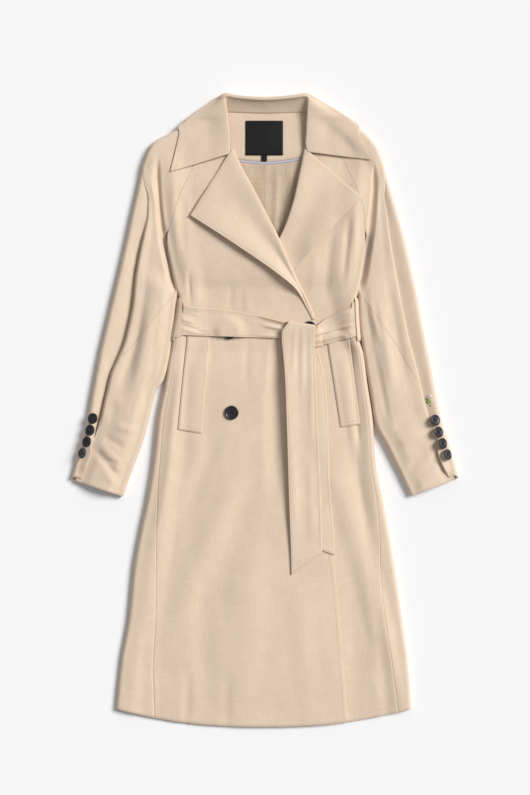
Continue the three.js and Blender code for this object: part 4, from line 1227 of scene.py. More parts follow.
# The tail comes out of the knot folded over: its top is carried round and down behind.
def foldedTop(grid, tree, radius):
    rows = []
    for angle in spaced(0, math.pi, 10)[1:] + [math.pi * 1.2]:
        row = []
        for x, y, z in grid[-1]:
            turned = min(angle, math.pi)
            past = (angle - turned) * 12
            lowered = z - radius * (1 - math.cos(turned))
            row.append((x, y + radius * math.sin(turned) - past, max(lowered, heightOn(tree, x, y, 0) + 2.2)))
        rows.append(row)
    return np.concatenate([grid, np.array(rows)])


def tailGrid(tail, tree, bottom, top, leftLift, folds):
    shares = [0, 0.02, 0.06] + spaced(0.1, 0.9, 17) + [0.94, 0.98, 1.0]
    grid, lowest, softs = [], [], []
    for row in spaced(0, 1, 108):
        points, floors, soft = [], [], []
        for share in shares:
            y = mix(mix(bottom[0], bottom[1], share), mix(top[0], top[1], share), row)
            x = mix(read(tail, "left", y), read(tail, "right", y), share)
            support = heightOn(tree, x, y, 4)
            between = smooth(row, 0.02, 0.3) * (1 - smooth(row, 0.8, 0.95))
            bowed = leftLift * (1 - smooth(share, 0, 0.5)) * between
            soft.append(max(foldHeight(folds, x, y) + 0.6 * slowNoise(x, y, 32, 12.5), -0.2))
            points.append((x, y, support + read(tail, "lift", y) + bowed))
            floors.append(support + 1.9)
        grid.append(points)
        lowest.append(floors)
        softs.append(soft)
    settled = settle(np.array(grid), np.array(lowest), 10)
    settled[:, :, 2] += np.array(softs)
    return settled


grids["beltTailUnder"] = tailGrid(underTail, chestTree, (-247, -268), (112, 112), 0.0, [])
frontTailTree = castTree(chestGrids + [grids["beltTailUnder"]])
grids["beltTailFront"] = foldedTop(
    tailGrid(frontTail, chestTree, (-304, -264), (161, 152.5), 4.0, tailFolds), frontTailTree, 4.2,
)

loopRows = table(["at", "lift"], [
    [128, 2.5],
    [133, 3.9],
    [138, 4.2],
    [199, 4.2],
    [203, 3.2],
    [207, 1.8],
])


def loopGrid(side):
    rows = span(128, 207, 2)
    turns = spaced(0.46, 0.86, 12)
    return np.array([[aroundBody(side, y, turn, read(loopRows, "lift", y)) for turn in turns] for y in rows])


grids["beltLoopRight"] = loopGrid(-1)
grids["beltLoopLeft"] = loopGrid(1)
print("surfaces ready:", len(grids))


# Meshes

def gridNormals(grid):
    right = np.zeros_like(grid)
    upward = np.zeros_like(grid)
    right[:, 1:-1] = grid[:, 2:] - grid[:, :-2]
    right[:, 0] = grid[:, 1] - grid[:, 0]
    right[:, -1] = grid[:, -1] - grid[:, -2]
    upward[1:-1] = grid[2:] - grid[:-2]
    upward[0] = grid[1] - grid[0]
    upward[-1] = grid[-1] - grid[-2]
    normal = np.cross(right, upward)
    length = np.linalg.norm(normal, axis=2, keepdims=True)
    return normal / np.maximum(length, 1e-9)


# Distances over the cloth along both ways of a grid, so that the weave follows each piece.
def clothCoordinates(grid):
    across = np.linalg.norm(np.diff(grid, axis=1), axis=2)
    along = np.linalg.norm(np.diff(grid, axis=0), axis=2)
    across = np.concatenate([np.zeros((grid.shape[0], 1)), np.cumsum(across, axis=1)], axis=1)
    along = np.concatenate([np.zeros((1, grid.shape[1])), np.cumsum(along, axis=0)], axis=0)
    middle = grid.shape[1] // 2
    return across - across[:, middle:middle + 1], along


def linkObject(name, mesh):
    thing = bpy.data.objects.new(name, mesh)
    bpy.context.scene.collection.objects.link(thing)
    return thing


def finishPiece(thing, material, nodes):
    thing.data.materials.append(material)
    for polygon in thing.data.polygons:
        polygon.use_smooth = True
    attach(thing, "root")
    if nodes:
        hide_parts(*nodes)
    return thing


# A thin closed shell round a grid, with a rounded rim.
def clothPiece(name, grid, thickness, material, nodes):
    rows, columns = grid.shape[:2]
    normals = gridNormals(grid)
    offset = normals * thickness / 2
    count = rows * columns
    border = [(0, c) for c in range(columns - 1)] + [(r, columns - 1) for r in range(rows - 1)]
    border += [(rows - 1, c) for c in range(columns - 1, 0, -1)] + [(r, 0) for r in range(rows - 1, 0, -1)]
    rimPoints = []
    for row, column in border:
        out = np.zeros(3)
        if row in (0, rows - 1):
            step = grid[row, column] - grid[1 if row == 0 else rows - 2, column]
            out += step / max(np.linalg.norm(step), 1e-9)
        if column in (0, columns - 1):
            step = grid[row, column] - grid[row, 1 if column == 0 else columns - 2]
            out += step / max(np.linalg.norm(step), 1e-9)
        out /= max(np.linalg.norm(out), 1e-9)
        rimPoints.append(grid[row, column] + out * thickness * 0.4)
    points = np.concatenate([
        (grid + offset).reshape(-1, 3),
        (grid - offset).reshape(-1, 3),
        np.array(rimPoints),
    ])
    index = np.arange(count).reshape(rows, columns)
    a, b, c, d = index[:-1, :-1], index[:-1, 1:], index[1:, 1:], index[1:, :-1]
    upper = np.stack([a, b, c, d], axis=-1).reshape(-1, 4)
    lower = upper[:, ::-1] + count
    rim = []
    total = len(border)
    for i, (row, column) in enumerate(border):
        nextRow, nextColumn = border[(i + 1) % total]
        here, after = row * columns + column, nextRow * columns + nextColumn
        middle, middleAfter = 2 * count + i, 2 * count + (i + 1) % total
        rim.append((here, middle, middleAfter, after))
        rim.append((middle, here + count, after + count, middleAfter))
    faces = [tuple(int(v) for v in face) for face in np.concatenate([upper, lower])] + rim
    mesh = bpy.data.meshes.new(name)
    mesh.from_pydata((points * metresPerMm).tolist(), [], faces)
    across, along = clothCoordinates(grid)
    flat = np.stack([across, along, np.zeros_like(across)], axis=-1).reshape(-1, 3)
    rimFlat = np.array([flat[row * columns + column] for row, column in border])
    values = np.concatenate([flat, flat, rimFlat]) * metresPerMm
    attribute = mesh.attributes.new("clothPlace", "FLOAT_VECTOR", "POINT")
    attribute.data.foreach_set("vector", values.astype(np.float32).ravel())
    mesh.validate()
    mesh.update()
    return finishPiece(linkObject(name, mesh), material, nodes)


# Materials

def socketed(name, inputs, outputs):
    group = bpy.data.node_groups.new(name, "ShaderNodeTree")
    for socketName, kind, value in inputs:
        socket = group.interface.new_socket(name=socketName, in_out="INPUT", socket_type=kind)
        if value is not None:
            socket.default_value = value
    for socketName, kind in outputs:
        group.interface.new_socket(name=socketName, in_out="OUTPUT", socket_type=kind)
    start = group.nodes.new("NodeGroupInput")
    end = group.nodes.new("NodeGroupOutput")
    start.location, end.location = (-900, 0), (900, 0)
    return group, start, end


def mathNode(tree, operation, first, second=None, third=None):
    node = tree.nodes.new("ShaderNodeMath")
    node.operation = operation
    for i, value in enumerate((first, second, third)):
        if value is None:
            continue
        if hasattr(value, "links"):
            tree.links.new(value, node.inputs[i])
        else:
            node.inputs[i].default_value = value
    return node.outputs[0]


def noiseNode(tree, vector, scale, detail, roughness=0.5):
    node = tree.nodes.new("ShaderNodeTexNoise")
    node.inputs["Scale"].default_value = scale
    node.inputs["Detail"].default_value = detail
    node.inputs["Roughness"].default_value = roughness
    tree.links.new(vector, node.inputs["Vector"])
    return node.outputs["Fac"]


def stretched(tree, vector, scale):
    node = tree.nodes.new("ShaderNodeMapping")
    node.inputs["Scale"].default_value = scale
    tree.links.new(vector, node.inputs["Vector"])
    return node.outputs[0]


# Fine diagonal ribs crossed by the yarns, as in a twill.
def makeTwillGroup():
    group, start, end = socketed(
        "twillWeave",
        [("Place", "NodeSocketVector", None), ("Spacing", "NodeSocketFloat", 0.0009)],
        [("Height", "NodeSocketFloat"), ("Ribs", "NodeSocketFloat")],
    )
    split = group.nodes.new("ShaderNodeSeparateXYZ")
    group.links.new(start.outputs["Place"], split.inputs[0])
    full = mathNode(group, "DIVIDE", 2 * math.pi, start.outputs["Spacing"])
    slanted = mathNode(group, "MULTIPLY", split.outputs["Y"], 0.55)
    diagonal = mathNode(group, "ADD", split.outputs["X"], slanted)
    ribs = mathNode(group, "SINE", mathNode(group, "MULTIPLY", diagonal, full))
    ribs = mathNode(group, "MULTIPLY_ADD", ribs, 0.5, 0.5)
    yarn = mathNode(group, "SINE", mathNode(group, "MULTIPLY", split.outputs["Y"], full))
    yarn = mathNode(group, "MULTIPLY_ADD", yarn, 0.5, 0.5)
    ribShare, yarnShare = mathNode(group, "MULTIPLY", ribs, 0.7), mathNode(group, "MULTIPLY", yarn, 0.3)
    height = mathNode(group, "ADD", ribShare, yarnShare)
    group.links.new(height, end.inputs["Height"])
    group.links.new(ribs, end.inputs["Ribs"])
    return group


# Uneven yarns and soft patches of tone over the cloth.
def makeToneGroup():
    group, start, end = socketed(
        "clothTone",
        [
            ("Place", "NodeSocketVector", None),
            ("Base", "NodeSocketColor", (0.7, 0.6, 0.5, 1)),
            ("Deep", "NodeSocketColor", (0.5, 0.4, 0.3, 1)),
            ("Ribs", "NodeSocketFloat", 0.5),
            ("Streaks", "NodeSocketFloat", 0.3),
            ("Patches", "NodeSocketFloat", 0.3),
            ("Rough", "NodeSocketFloat", 0.8),
        ],
        [("Colour", "NodeSocketColor"), ("Roughness", "NodeSocketFloat")],
    )
    place = start.outputs["Place"]
    weft = noiseNode(group, stretched(group, place, (34, 460, 1)), 1.0, 2.0)
    warp = noiseNode(group, stretched(group, place, (460, 34, 1)), 1.0, 2.0)
    patch = noiseNode(group, place, 16.0, 3.0, 0.55)
    streak = mathNode(group, "SUBTRACT", mathNode(group, "ADD", weft, warp), 1.0)
    streak = mathNode(group, "MULTIPLY", streak, start.outputs["Streaks"])
    soft = mathNode(group, "MULTIPLY", mathNode(group, "SUBTRACT", patch, 0.5), start.outputs["Patches"])
    rib = mathNode(group, "MULTIPLY", mathNode(group, "SUBTRACT", 0.5, start.outputs["Ribs"]), 0.12)
    share = mathNode(group, "ADD", mathNode(group, "ADD", streak, soft), rib)
    share = mathNode(group, "ADD", share, 0.3)
    blend = group.nodes.new("ShaderNodeMix")
    blend.data_type = "RGBA"
    blend.clamp_factor = True
    group.links.new(share, blend.inputs["Factor"])
    group.links.new(start.outputs["Base"], blend.inputs["A"])
    group.links.new(start.outputs["Deep"], blend.inputs["B"])
    group.links.new(blend.outputs["Result"], end.inputs["Colour"])
    rough = mathNode(group, "ADD", start.outputs["Rough"], mathNode(group, "MULTIPLY", share, 0.12))
    group.links.new(rough, end.inputs["Roughness"])
    return group


# Small soft creases of handled cloth.
def makeCreaseGroup():
    group, start, end = socketed(
        "softCreases",
        [("Place", "NodeSocketVector", None), ("Size", "NodeSocketFloat", 40.0)],
        [("Height", "NodeSocketFloat")],
    )
    node = group.nodes.new("ShaderNodeTexNoise")
    node.inputs["Detail"].default_value = 3.0
    node.inputs["Roughness"].default_value = 0.55
    node.inputs["Distortion"].default_value = 0.6
    group.links.new(stretched(group, start.outputs["Place"], (1.0, 0.6, 1.0)), node.inputs["Vector"])
    group.links.new(start.outputs["Size"], node.inputs["Scale"])
    ridge = mathNode(group, "ABSOLUTE", mathNode(group, "SUBTRACT", node.outputs["Fac"], 0.5))
    crease = mathNode(group, "SUBTRACT", 1.0, mathNode(group, "MULTIPLY", ridge, 2.0))
    group.links.new(crease, end.inputs["Height"])
    return group


twillWeave = makeTwillGroup()
clothTone = makeToneGroup()
softCreases = makeCreaseGroup()


def groupNode(tree, group, values):
    node = tree.nodes.new("ShaderNodeGroup")
    node.node_tree = group
    for name, value in values.items():
        if hasattr(value, "links"):
            tree.links.new(value, node.inputs[name])
        else:
            node.inputs[name].default_value = value
    return node


def newMaterial(name):
    material = bpy.data.materials.new(name)
    material.use_nodes = True
    tree = material.node_tree
    tree.nodes.clear()
    output = tree.nodes.new("ShaderNodeOutputMaterial")
    shader = tree.nodes.new("ShaderNodeBsdfPrincipled")
    output.location, shader.location = (700, 0), (400, 0)
    tree.links.new(shader.outputs[0], output.inputs["Surface"])
    return material, tree, shader


def clothMaterial(name, look):
    material, tree, shader = newMaterial(name)
    place = tree.nodes.new("ShaderNodeAttribute")
    place.attribute_name = "clothPlace"
    vector = place.outputs["Vector"]
    weave = groupNode(tree, twillWeave, {"Place": vector, "Spacing": look["spacing"]})
    tone = groupNode(tree, clothTone, {
        "Place": vector,
        "Base": look["base"],
        "Deep": look["deep"],
        "Ribs": weave.outputs["Ribs"],
        "Streaks": look["streaks"],
        "Patches": look["patches"],
        "Rough": look["rough"],
    })
    crease = groupNode(tree, softCreases, {"Place": vector, "Size": look["creaseSize"]})
    weaveHeight = mathNode(tree, "MULTIPLY", weave.outputs["Height"], look["weaveDepth"])
    creaseHeight = mathNode(tree, "MULTIPLY", crease.outputs["Height"], look["creaseDepth"])
    bump = tree.nodes.new("ShaderNodeBump")
    bump.inputs["Strength"].default_value = 1.0
    bump.inputs["Distance"].default_value = 1.0
    tree.links.new(mathNode(tree, "ADD", weaveHeight, creaseHeight), bump.inputs["Height"])
    tree.links.new(tone.outputs["Colour"], shader.inputs["Base Color"])
    tree.links.new(tone.outputs["Roughness"], shader.inputs["Roughness"])
    tree.links.new(bump.outputs["Normal"], shader.inputs["Normal"])
    shader.inputs["Sheen Weight"].default_value = look["sheen"]
    shader.inputs["Sheen Roughness"].default_value = 0.5
    shader.inputs["Sheen Tint"].default_value = look["sheenTint"]
    shader.inputs["Specular IOR Level"].default_value = look["specular"]
    return material


gabardineLook = {
    "base": (0.79, 0.63, 0.485, 1),
    "deep": (0.66, 0.505, 0.365, 1),
    "streaks": 0.8,
    "patches": 0.7,
    "rough": 0.86,
    "spacing": 0.0011,
    "weaveDepth": 0.00006,
    "creaseSize": 34.0,
    "creaseDepth": 0.0003,
    "sheen": 0.08,
    "sheenTint": (1.0, 0.93, 0.84, 1),
    "specular": 0.18,
}
liningLook = dict(
    gabardineLook,
    base=(0.64, 0.50, 0.365, 1),
    deep=(0.47, 0.35, 0.24, 1),
    rough=0.42,
    spacing=0.0006,
    weaveDepth=0.00002,
    creaseSize=60.0,
    creaseDepth=0.0005,
    sheen=0.05,
    specular=0.5,
)
bindingLook = dict(
    gabardineLook,
    base=(0.56, 0.54, 0.66, 1),
    deep=(0.44, 0.42, 0.55, 1),
    rough=0.45,
    spacing=0.0007,
    weaveDepth=0.00003,
    creaseDepth=0.0001,
    specular=0.5,
)
labelLook = dict(
    gabardineLook,
    base=(0.007, 0.007, 0.008, 1),
    deep=(0.014, 0.014, 0.016, 1),
    rough=0.5,
    spacing=0.0008,
    weaveDepth=0.00003,
    creaseDepth=0.00008,
    sheen=0.0,
    specular=0.22,
)


def threadMaterial(name, base, deep, rough):
    material, tree, shader = newMaterial(name)
    place = tree.nodes.new("ShaderNodeTexCoord")
    tone = groupNode(tree, clothTone, {
        "Place": place.outputs["Object"],
        "Base": base,
        "Deep": deep,
        "Streaks": 0.4,
        "Patches": 0.8,
        "Rough": rough,
    })
    tree.links.new(tone.outputs["Colour"], shader.inputs["Base Color"])
    tree.links.new(tone.outputs["Roughness"], shader.inputs["Roughness"])
    shader.inputs["Specular IOR Level"].default_value = 0.4
    return material


def buttonMaterial():
    material, tree, shader = newMaterial("buttonResin")
    place = tree.nodes.new("ShaderNodeTexCoord")
    fine = noiseNode(tree, place.outputs["Object"], 900.0, 3.0)
    ramp = tree.nodes.new("ShaderNodeValToRGB")
    ramp.color_ramp.elements[0].color = (0.008, 0.008, 0.010, 1)
    ramp.color_ramp.elements[1].color = (0.028, 0.028, 0.032, 1)
    ramp.color_ramp.elements[0].position = 0.35
    ramp.color_ramp.elements[1].position = 0.7
    tree.links.new(fine, ramp.inputs[0])
    tree.links.new(ramp.outputs["Color"], shader.inputs["Base Color"])
    tree.links.new(mathNode(tree, "MULTIPLY_ADD", fine, 0.16, 0.22), shader.inputs["Roughness"])
    bump = tree.nodes.new("ShaderNodeBump")
    bump.inputs["Distance"].default_value = 0.00004
    tree.links.new(fine, bump.inputs["Height"])
    tree.links.new(bump.outputs["Normal"], shader.inputs["Normal"])
    return material


gabardine = clothMaterial("gabardineCloth", gabardineLook)
lining = clothMaterial("liningCloth", liningLook)
binding = clothMaterial("bindingTape", bindingLook)
labelSatin = clothMaterial("labelSatin", labelLook)
# Topstitch thread darker than the cloth: partly the thread's own tone-on-tone colour, partly painted shade of the
# stitch grooves.
stitchThread = threadMaterial("stitchThread", (0.54, 0.41, 0.295, 1), (0.44, 0.325, 0.225, 1), 0.7)
# A darker colour for the seam lines: painted shade along the seams.
seamShadow = threadMaterial("paintedSeamShadeLine", (0.50, 0.37, 0.255, 1), (0.42, 0.30, 0.20, 1), 0.8)
buttonResin = buttonMaterial()
buttonThread = threadMaterial("buttonThread", (0.02, 0.02, 0.022, 1), (0.035, 0.035, 0.038, 1), 0.6)
print("materials ready")

# Cloth pieces: shell thickness, material, slot and the nodes that each stands for.
pieceRows = [
    ("coatBack", "cloth", gabardine, "gabardine", ["back"]),
    ("frontRight", "cloth", gabardine, "gabardine", ["front_right"]),
    ("frontLeft", "cloth", gabardine, "gabardine", ["front_left"]),
    ("sleeveRightBack", "cloth", gabardine, "gabardine", ["sleeve_right_back"]),
    ("sleeveRightFront", "cloth", gabardine, "gabardine", ["sleeve_right_front"]),
    ("sleeveLeftBack", "cloth", gabardine, "gabardine", ["sleeve_left_back"]),
    ("sleeveLeftFront", "cloth", gabardine, "gabardine", ["sleeve_left_front"]),
    ("lapelRight", "doubled", gabardine, "gabardine", ["lapel_right"]),
    ("lapelLeft", "doubled", gabardine, "gabardine", ["lapel_left"]),
    ("collarFall", "doubled", gabardine, "gabardine", ["collar"]),
    ("collarStand", "doubled", gabardine, "gabardine", ["collar_stand"]),
    ("backNeckFacing", "cloth", gabardine, "gabardine", ["back_neck_facing"]),
    ("neckBinding", "cloth", binding, "binding", ["neck_binding"]),
    ("backLining", "cloth", lining, "lining", ["back_lining"]),
    ("neckLabel", "cloth", labelSatin, "label", ["neck_label"]),
    ("sizeTab", "cloth", labelSatin, "label", ["size_tab"]),
    ("weltRight", "cloth", gabardine, "gabardine", ["pocket_welt_right"]),
    ("weltLeft", "cloth", gabardine, "gabardine", ["pocket_welt_left"]),
    ("beltBand", "doubled", gabardine, "gabardine", ["belt_band"]),
    ("beltTailUnder", "doubled", gabardine, "gabardine", ["belt_tail_under"]),
    ("beltTailFront", "doubled", gabardine, "gabardine", ["belt_tail_front", "belt_knot"]),
    ("beltLoopRight", "cloth", gabardine, "gabardine", ["belt_loop_right"]),
    ("beltLoopLeft", "cloth", gabardine, "gabardine", ["belt_loop_left"]),
]
for name, thickness, material, slotName, nodes in pieceRows:
    clothPiece(name, grids[name], coat[thickness], material, nodes)
print("cloth pieces ready")


# Buttons

buttonRows = [
    ("front", -64, 144, 13.0, 0.5, 0.0),
    ("front", 84, 151.5, 13.0, 0.5, 0.0),
    ("front", -60, -5, 13.0, 0.5, 0.0),
    ("front", 88, -4, 13.0, 0.5, 0.0),
    ("cuff_right", -316, -16, 10.4, 0.4, -0.5),
    ("cuff_right", -321, -37.8, 10.4, 0.4, -0.58),
    ("cuff_right", -327, -59.2, 10.4, 0.4, -0.64),
    ("cuff_right", -335, -80, 10.4, 0.4, -0.84),
    ("cuff_left", 316, -19, 10.4, 0.4, 0.58),
    ("cuff_left", 322, -41, 10.4, 0.4, 0.66),
    ("cuff_left", 329.5, -62, 10.4, 0.4, 0.72),
    ("cuff_left", 338.5, -82.5, 10.4, 0.4, 0.86),
]


# Lowest height at which a tilted disc clears what lies under it.
def seatHeight(tree, x, y, radius, tilt):
    rise = math.tan(-tilt)
    highest = heightOn(tree, x, y, 0)
    for ring in (0.35, 0.7, 0.95):
        for turn in range(12):
            offX = ring * radius * math.cos(turn * math.pi / 6) * math.cos(tilt)
            offY = ring * radius * math.sin(turn * math.pi / 6)
            found = heightOn(tree, x + offX, y + offY, 0)
            highest = max(highest, found - offX * rise)
    return highest


def buttonMesh(radius, name):
    thickness = radius * 0.28
    profile = [
        (0.0, 0.0), (0.8, 0.0), (0.93, 0.1), (0.99, 0.3), (1.0, 0.5), (0.985, 0.75), (0.94, 0.93), (0.88, 1.0),
        (0.82, 0.97), (0.77, 0.84), (0.73, 0.72), (0.66, 0.66), (0.4, 0.63), (0.0, 0.62),
    ]
    mesh = bpy.data.meshes.new(name)
    build = bmesh.new()
    rings = []
    for r, z in profile:
        if r == 0.0:
            rings.append([build.verts.new((0, 0, z * thickness))])
            continue
        ring = []
        for k in range(40):
            angle = 2 * math.pi * k / 40
            across, up = r * radius * math.cos(angle), r * radius * math.sin(angle)
            ring.append(build.verts.new((across, up, z * thickness)))
        rings.append(ring)
    for lower, upper in zip(rings, rings[1:]):
        for k in range(40):
            after = (k + 1) % 40
            if len(lower) == 1:
                build.faces.new((lower[0], upper[after], upper[k]))
            elif len(upper) == 1:
                build.faces.new((lower[k], lower[after], upper[0]))
            else:
                build.faces.new((lower[k], lower[after], upper[after], upper[k]))
    bmesh.ops.recalc_face_normals(build, faces=build.faces)
    build.to_mesh(mesh)
    build.free()
    body = linkObject(name, mesh)
    # four sewing holes
    drill = bpy.data.meshes.new(name + "Drill")
    build = bmesh.new()
    for turn in range(4):
        angle = math.pi / 4 + turn * math.pi / 2
        place = Matrix.Translation((0.2 * radius * math.cos(angle), 0.2 * radius * math.sin(angle), 0))
        bmesh.ops.create_cone(
            build, cap_ends=True, segments=14, radius1=0.085 * radius, radius2=0.085 * radius,
            depth=4 * thickness, matrix=place,
        )
    build.to_mesh(drill)
    build.free()
    cutter = linkObject(name + "Drill", drill)
    cut = body.modifiers.new("holes", "BOOLEAN")
    cut.object, cut.solver, cut.operation = cutter, "EXACT", "DIFFERENCE"
    graph = bpy.context.evaluated_depsgraph_get()
    result = bpy.data.meshes.new_from_object(body.evaluated_get(graph))
    bpy.data.objects.remove(body)
    bpy.data.objects.remove(cutter)
    return result


def tubePoints(path, radii, sides):
    points, faces = [], []
    for i, place in enumerate(path):
        after = path[min(i + 1, len(path) - 1)]
        before = path[max(i - 1, 0)]
        direction = (Vector(after) - Vector(before)).normalized()
        side = direction.cross(Vector((0, 0, 1)))
        side = side.normalized() if side.length > 1e-6 else Vector((1, 0, 0))
        lift = side.cross(direction)
        for k in range(sides):
            angle = 2 * math.pi * k / sides
            points.append(Vector(place) + (side * math.cos(angle) + lift * math.sin(angle)) * radii[i])
    for i in range(len(path) - 1):
        for k in range(sides):
            after = (k + 1) % sides
            a = i * sides
            faces.append((a + k, a + sides + k, a + sides + after, a + after))
    faces.append(tuple(range(sides)))
    faces.append(tuple(reversed(range((len(path) - 1) * sides, len(path) * sides))))
    return points, faces


def buttonThreads(radius, name):
    thickness = radius * 0.28
    points, faces = [], []
    holes = []
    for turn in range(4):
        angle = math.pi / 4 + turn * math.pi / 2
        holes.append((0.2 * radius * math.cos(angle), 0.2 * radius * math.sin(angle)))
    for first, second in ((0, 2), (1, 3)):
        for shift in (-0.25, 0.25):
            path = []
            for share in spaced(0, 1, 9):
                x = mix(holes[first][0], holes[second][0], share) + shift
                y = mix(holes[first][1], holes[second][1], share) + shift * (1 if first == 0 else -1)
                z = thickness * (0.35 + 0.62 * math.sin(math.pi * share) ** 0.5)
                path.append((x, y, z))
            newPoints, newFaces = tubePoints(path, [0.26] * len(path), 6)
            start = len(points)
            points += newPoints
            faces += [tuple(v + start for v in face) for face in newFaces]
    mesh = bpy.data.meshes.new(name)
    mesh.from_pydata([tuple(p) for p in points], [], faces)
    return mesh


buttonMeshes = {radius: buttonMesh(radius, "buttonForm") for radius in (13.0, 10.4)}
threadMeshes = {radius: buttonThreads(radius, "buttonCross") for radius in (13.0, 10.4)}
counts = {}
for kind, x, y, radius, gap, tilt in buttonRows:
    counts[kind] = counts.get(kind, 0) + 1
    support = seatHeight(garmentTree, x, y, radius, tilt)
    lean = math.atan2(0.3, 1.0) * (1 if tilt > 0 else -1) if tilt else 0.0
    spin = 0.35 * counts[kind] + (0.2 if kind == "front" else 0)
    place = Matrix.Translation((x, y, support + coat["rest"] + gap)) @ Matrix.Rotation(lean, 4, "Z")
    place = place @ Matrix.Rotation(tilt, 4, "Y") @ Matrix.Rotation(spin, 4, "Z")
    node = f"button_{kind}_{counts[kind]}"
    name = "button" + kind.title().replace("_", "") + str(counts[kind])
    for source, label, material, nodes in (
        (buttonMeshes[radius], "", buttonResin, [node]),
        (threadMeshes[radius], "Thread", buttonThread, []),
    ):
        mesh = source.copy()
        mesh.transform(place)
        mesh.transform(Matrix.Scale(metresPerMm, 4))
        mesh.materials.clear()
        finishPiece(linkObject(name + label, mesh), material, nodes)
print("buttons ready")


# Stitches and seam lines

def resample(points, step):
    points = np.array(points)
    lengths = np.concatenate([[0], np.cumsum(np.linalg.norm(np.diff(points, axis=0), axis=1))])
    count = max(2, int(lengths[-1] / step) + 1)
    at = np.linspace(0, lengths[-1], count)
    return np.stack([np.interp(at, lengths, points[:, k]) for k in range(points.shape[1])], axis=1)


# The line that runs inside one border of a grid at a set distance, as points and normals.
def insetLine(grid, border, distance, first=0.0, last=1.0):
    rows, columns = grid.shape[:2]
    normals = gridNormals(grid)
    lines = {
        "left": [(grid[r], normals[r]) for r in range(rows)],
        "right": [(grid[r][::-1], normals[r][::-1]) for r in range(rows)],
        "bottom": [(grid[:, c], normals[:, c]) for c in range(columns)],
        "top": [(grid[::-1, c], normals[::-1, c]) for c in range(columns)],
    }[border]
    path = []
    for line, normal in lines:
        lengths = np.concatenate([[0], np.cumsum(np.linalg.norm(np.diff(line, axis=0), axis=1))])
        if lengths[-1] < distance * 1.5:
            continue
        place = [np.interp(distance, lengths, line[:, k]) for k in range(3)]
        turn = [np.interp(distance, lengths, normal[:, k]) for k in range(3)]
        path.append(place + turn)
    start, end = int(first * (len(path) - 1)), int(last * (len(path) - 1))
    return np.array(path[start:end + 1])


stitchSetup = {
    "length": 2.7,
    "gap": 1.1,
    "radius": 0.34,
    "endShare": 0.7,
    "sinks": (-0.7, 0.25, 0.25, -0.7),
    "sides": 5,
    "seamStep": 4,
}


def newWork():
    return {"points": [], "faces": []}


def addTube(work, path, radii, sides):
    newPoints, newFaces = tubePoints([tuple(p) for p in path], radii, sides)
    start = len(work["points"])
    work["points"] += [tuple(p) for p in newPoints]
    work["faces"] += [tuple(v + start for v in face) for face in newFaces]


# A row of stitches along a line: each dips into the cloth at both its ends.
def addStitches(work, line, height):
    if len(line) < 2:
        return
    pitch = stitchSetup["length"] + stitchSetup["gap"]
    fine = resample(line, pitch / 4)
    radius, thin = stitchSetup["radius"], stitchSetup["radius"] * stitchSetup["endShare"]
    for i in range(0, len(fine) - 4, 4):
        path = [
            point[:3] + point[3:] * (height + sink * radius)
            for point, sink in zip(fine[i:i + 4], stitchSetup["sinks"])
        ]
        addTube(work, path, [thin, radius, radius, thin], stitchSetup["sides"])


def addSeam(work, line, height, radius):
    fine = resample(line, stitchSetup["seamStep"])
    path = [p[:3] + p[3:] * height for p in fine]
    addTube(work, path, [radius] * len(path), stitchSetup["sides"])


def finishWork(work, name, material):
    mesh = bpy.data.meshes.new(name)
    mesh.from_pydata((np.array(work["points"]) * metresPerMm).tolist(), [], work["faces"])
    mesh.update()
    finishPiece(linkObject(name, mesh), material, [])


def surfaceLine(tree, points, step):
    line = []
    for x, y in resample(points, step):
        hit, normal, _, _ = tree.ray_cast(Vector((x, y, 400.0)), down)
        if hit is not None:
            if normal.z < 0:
                normal = -normal
            line.append(list(hit) + list(normal))
    return np.array(line)


half = {"cloth": coat["cloth"] / 2, "doubled": coat["doubled"] / 2}
print("stitching")
work = newWork()
# The lapel grids run from the roll to the free edge and from the neck down to the break.
for name in ("lapelRight", "lapelLeft"):
    last = 0.94 if name == "lapelRight" else 0.5
    addStitches(work, insetLine(grids[name], "right", 5.0, 0.03, last), half["doubled"])
    addStitches(work, insetLine(grids[name], "bottom", 5.0, 0.3, 0.9), half["doubled"])
collarPiece = grids["collarFall"]
wingRows = int(4.2 * 6)
addStitches(work, insetLine(collarPiece[:wingRows], "right", 5.0, 0.12, 1.0), half["doubled"])
addStitches(work, insetLine(collarPiece[-wingRows:], "right", 5.0, 0.0, 0.88), half["doubled"])
addStitches(work, insetLine(collarPiece, "bottom", 5.0, 0.04, 0.93), half["doubled"])
addStitches(work, insetLine(collarPiece, "top", 5.0, 0.04, 0.93), half["doubled"])
finishWork(work, "collarStitches", stitchThread)

work = newWork()
beltPiece = grids["beltBand"]
for border in ("left", "right"):
    addStitches(work, insetLine(beltPiece, border, 3.0), half["doubled"])
for name in ("beltTailFront", "beltTailUnder"):
    for border in ("left", "right"):
        addStitches(work, insetLine(grids[name], border, 3.2, 0.03, 0.99), half["doubled"])
    addStitches(work, insetLine(grids[name], "bottom", 3.2, 0.06, 0.94), half["doubled"])
for name in ("beltLoopRight", "beltLoopLeft"):
    for border in ("left", "right"):
        addStitches(work, insetLine(grids[name], border, 1.6, 0.04, 0.96), half["cloth"])
finishWork(work, "beltStitches", stitchThread)

work = newWork()
for name in ("weltRight", "weltLeft"):
    for border in ("left", "right"):
        addStitches(work, insetLine(grids[name], border, 2.2, 0.01, 0.97), half["cloth"])
    for distance in (2.0, 7.5):
        addStitches(work, insetLine(grids[name], "bottom", distance, 0.06, 0.94), half["cloth"])
hemRows = int(np.argmin(np.abs(np.array(bodyRows + chestRows) - 150)))
addStitches(work, insetLine(grids["frontRight"][:hemRows], "right", 6.0, 0.01, 1.0), half["cloth"])
finishWork(work, "bodyStitches", stitchThread)
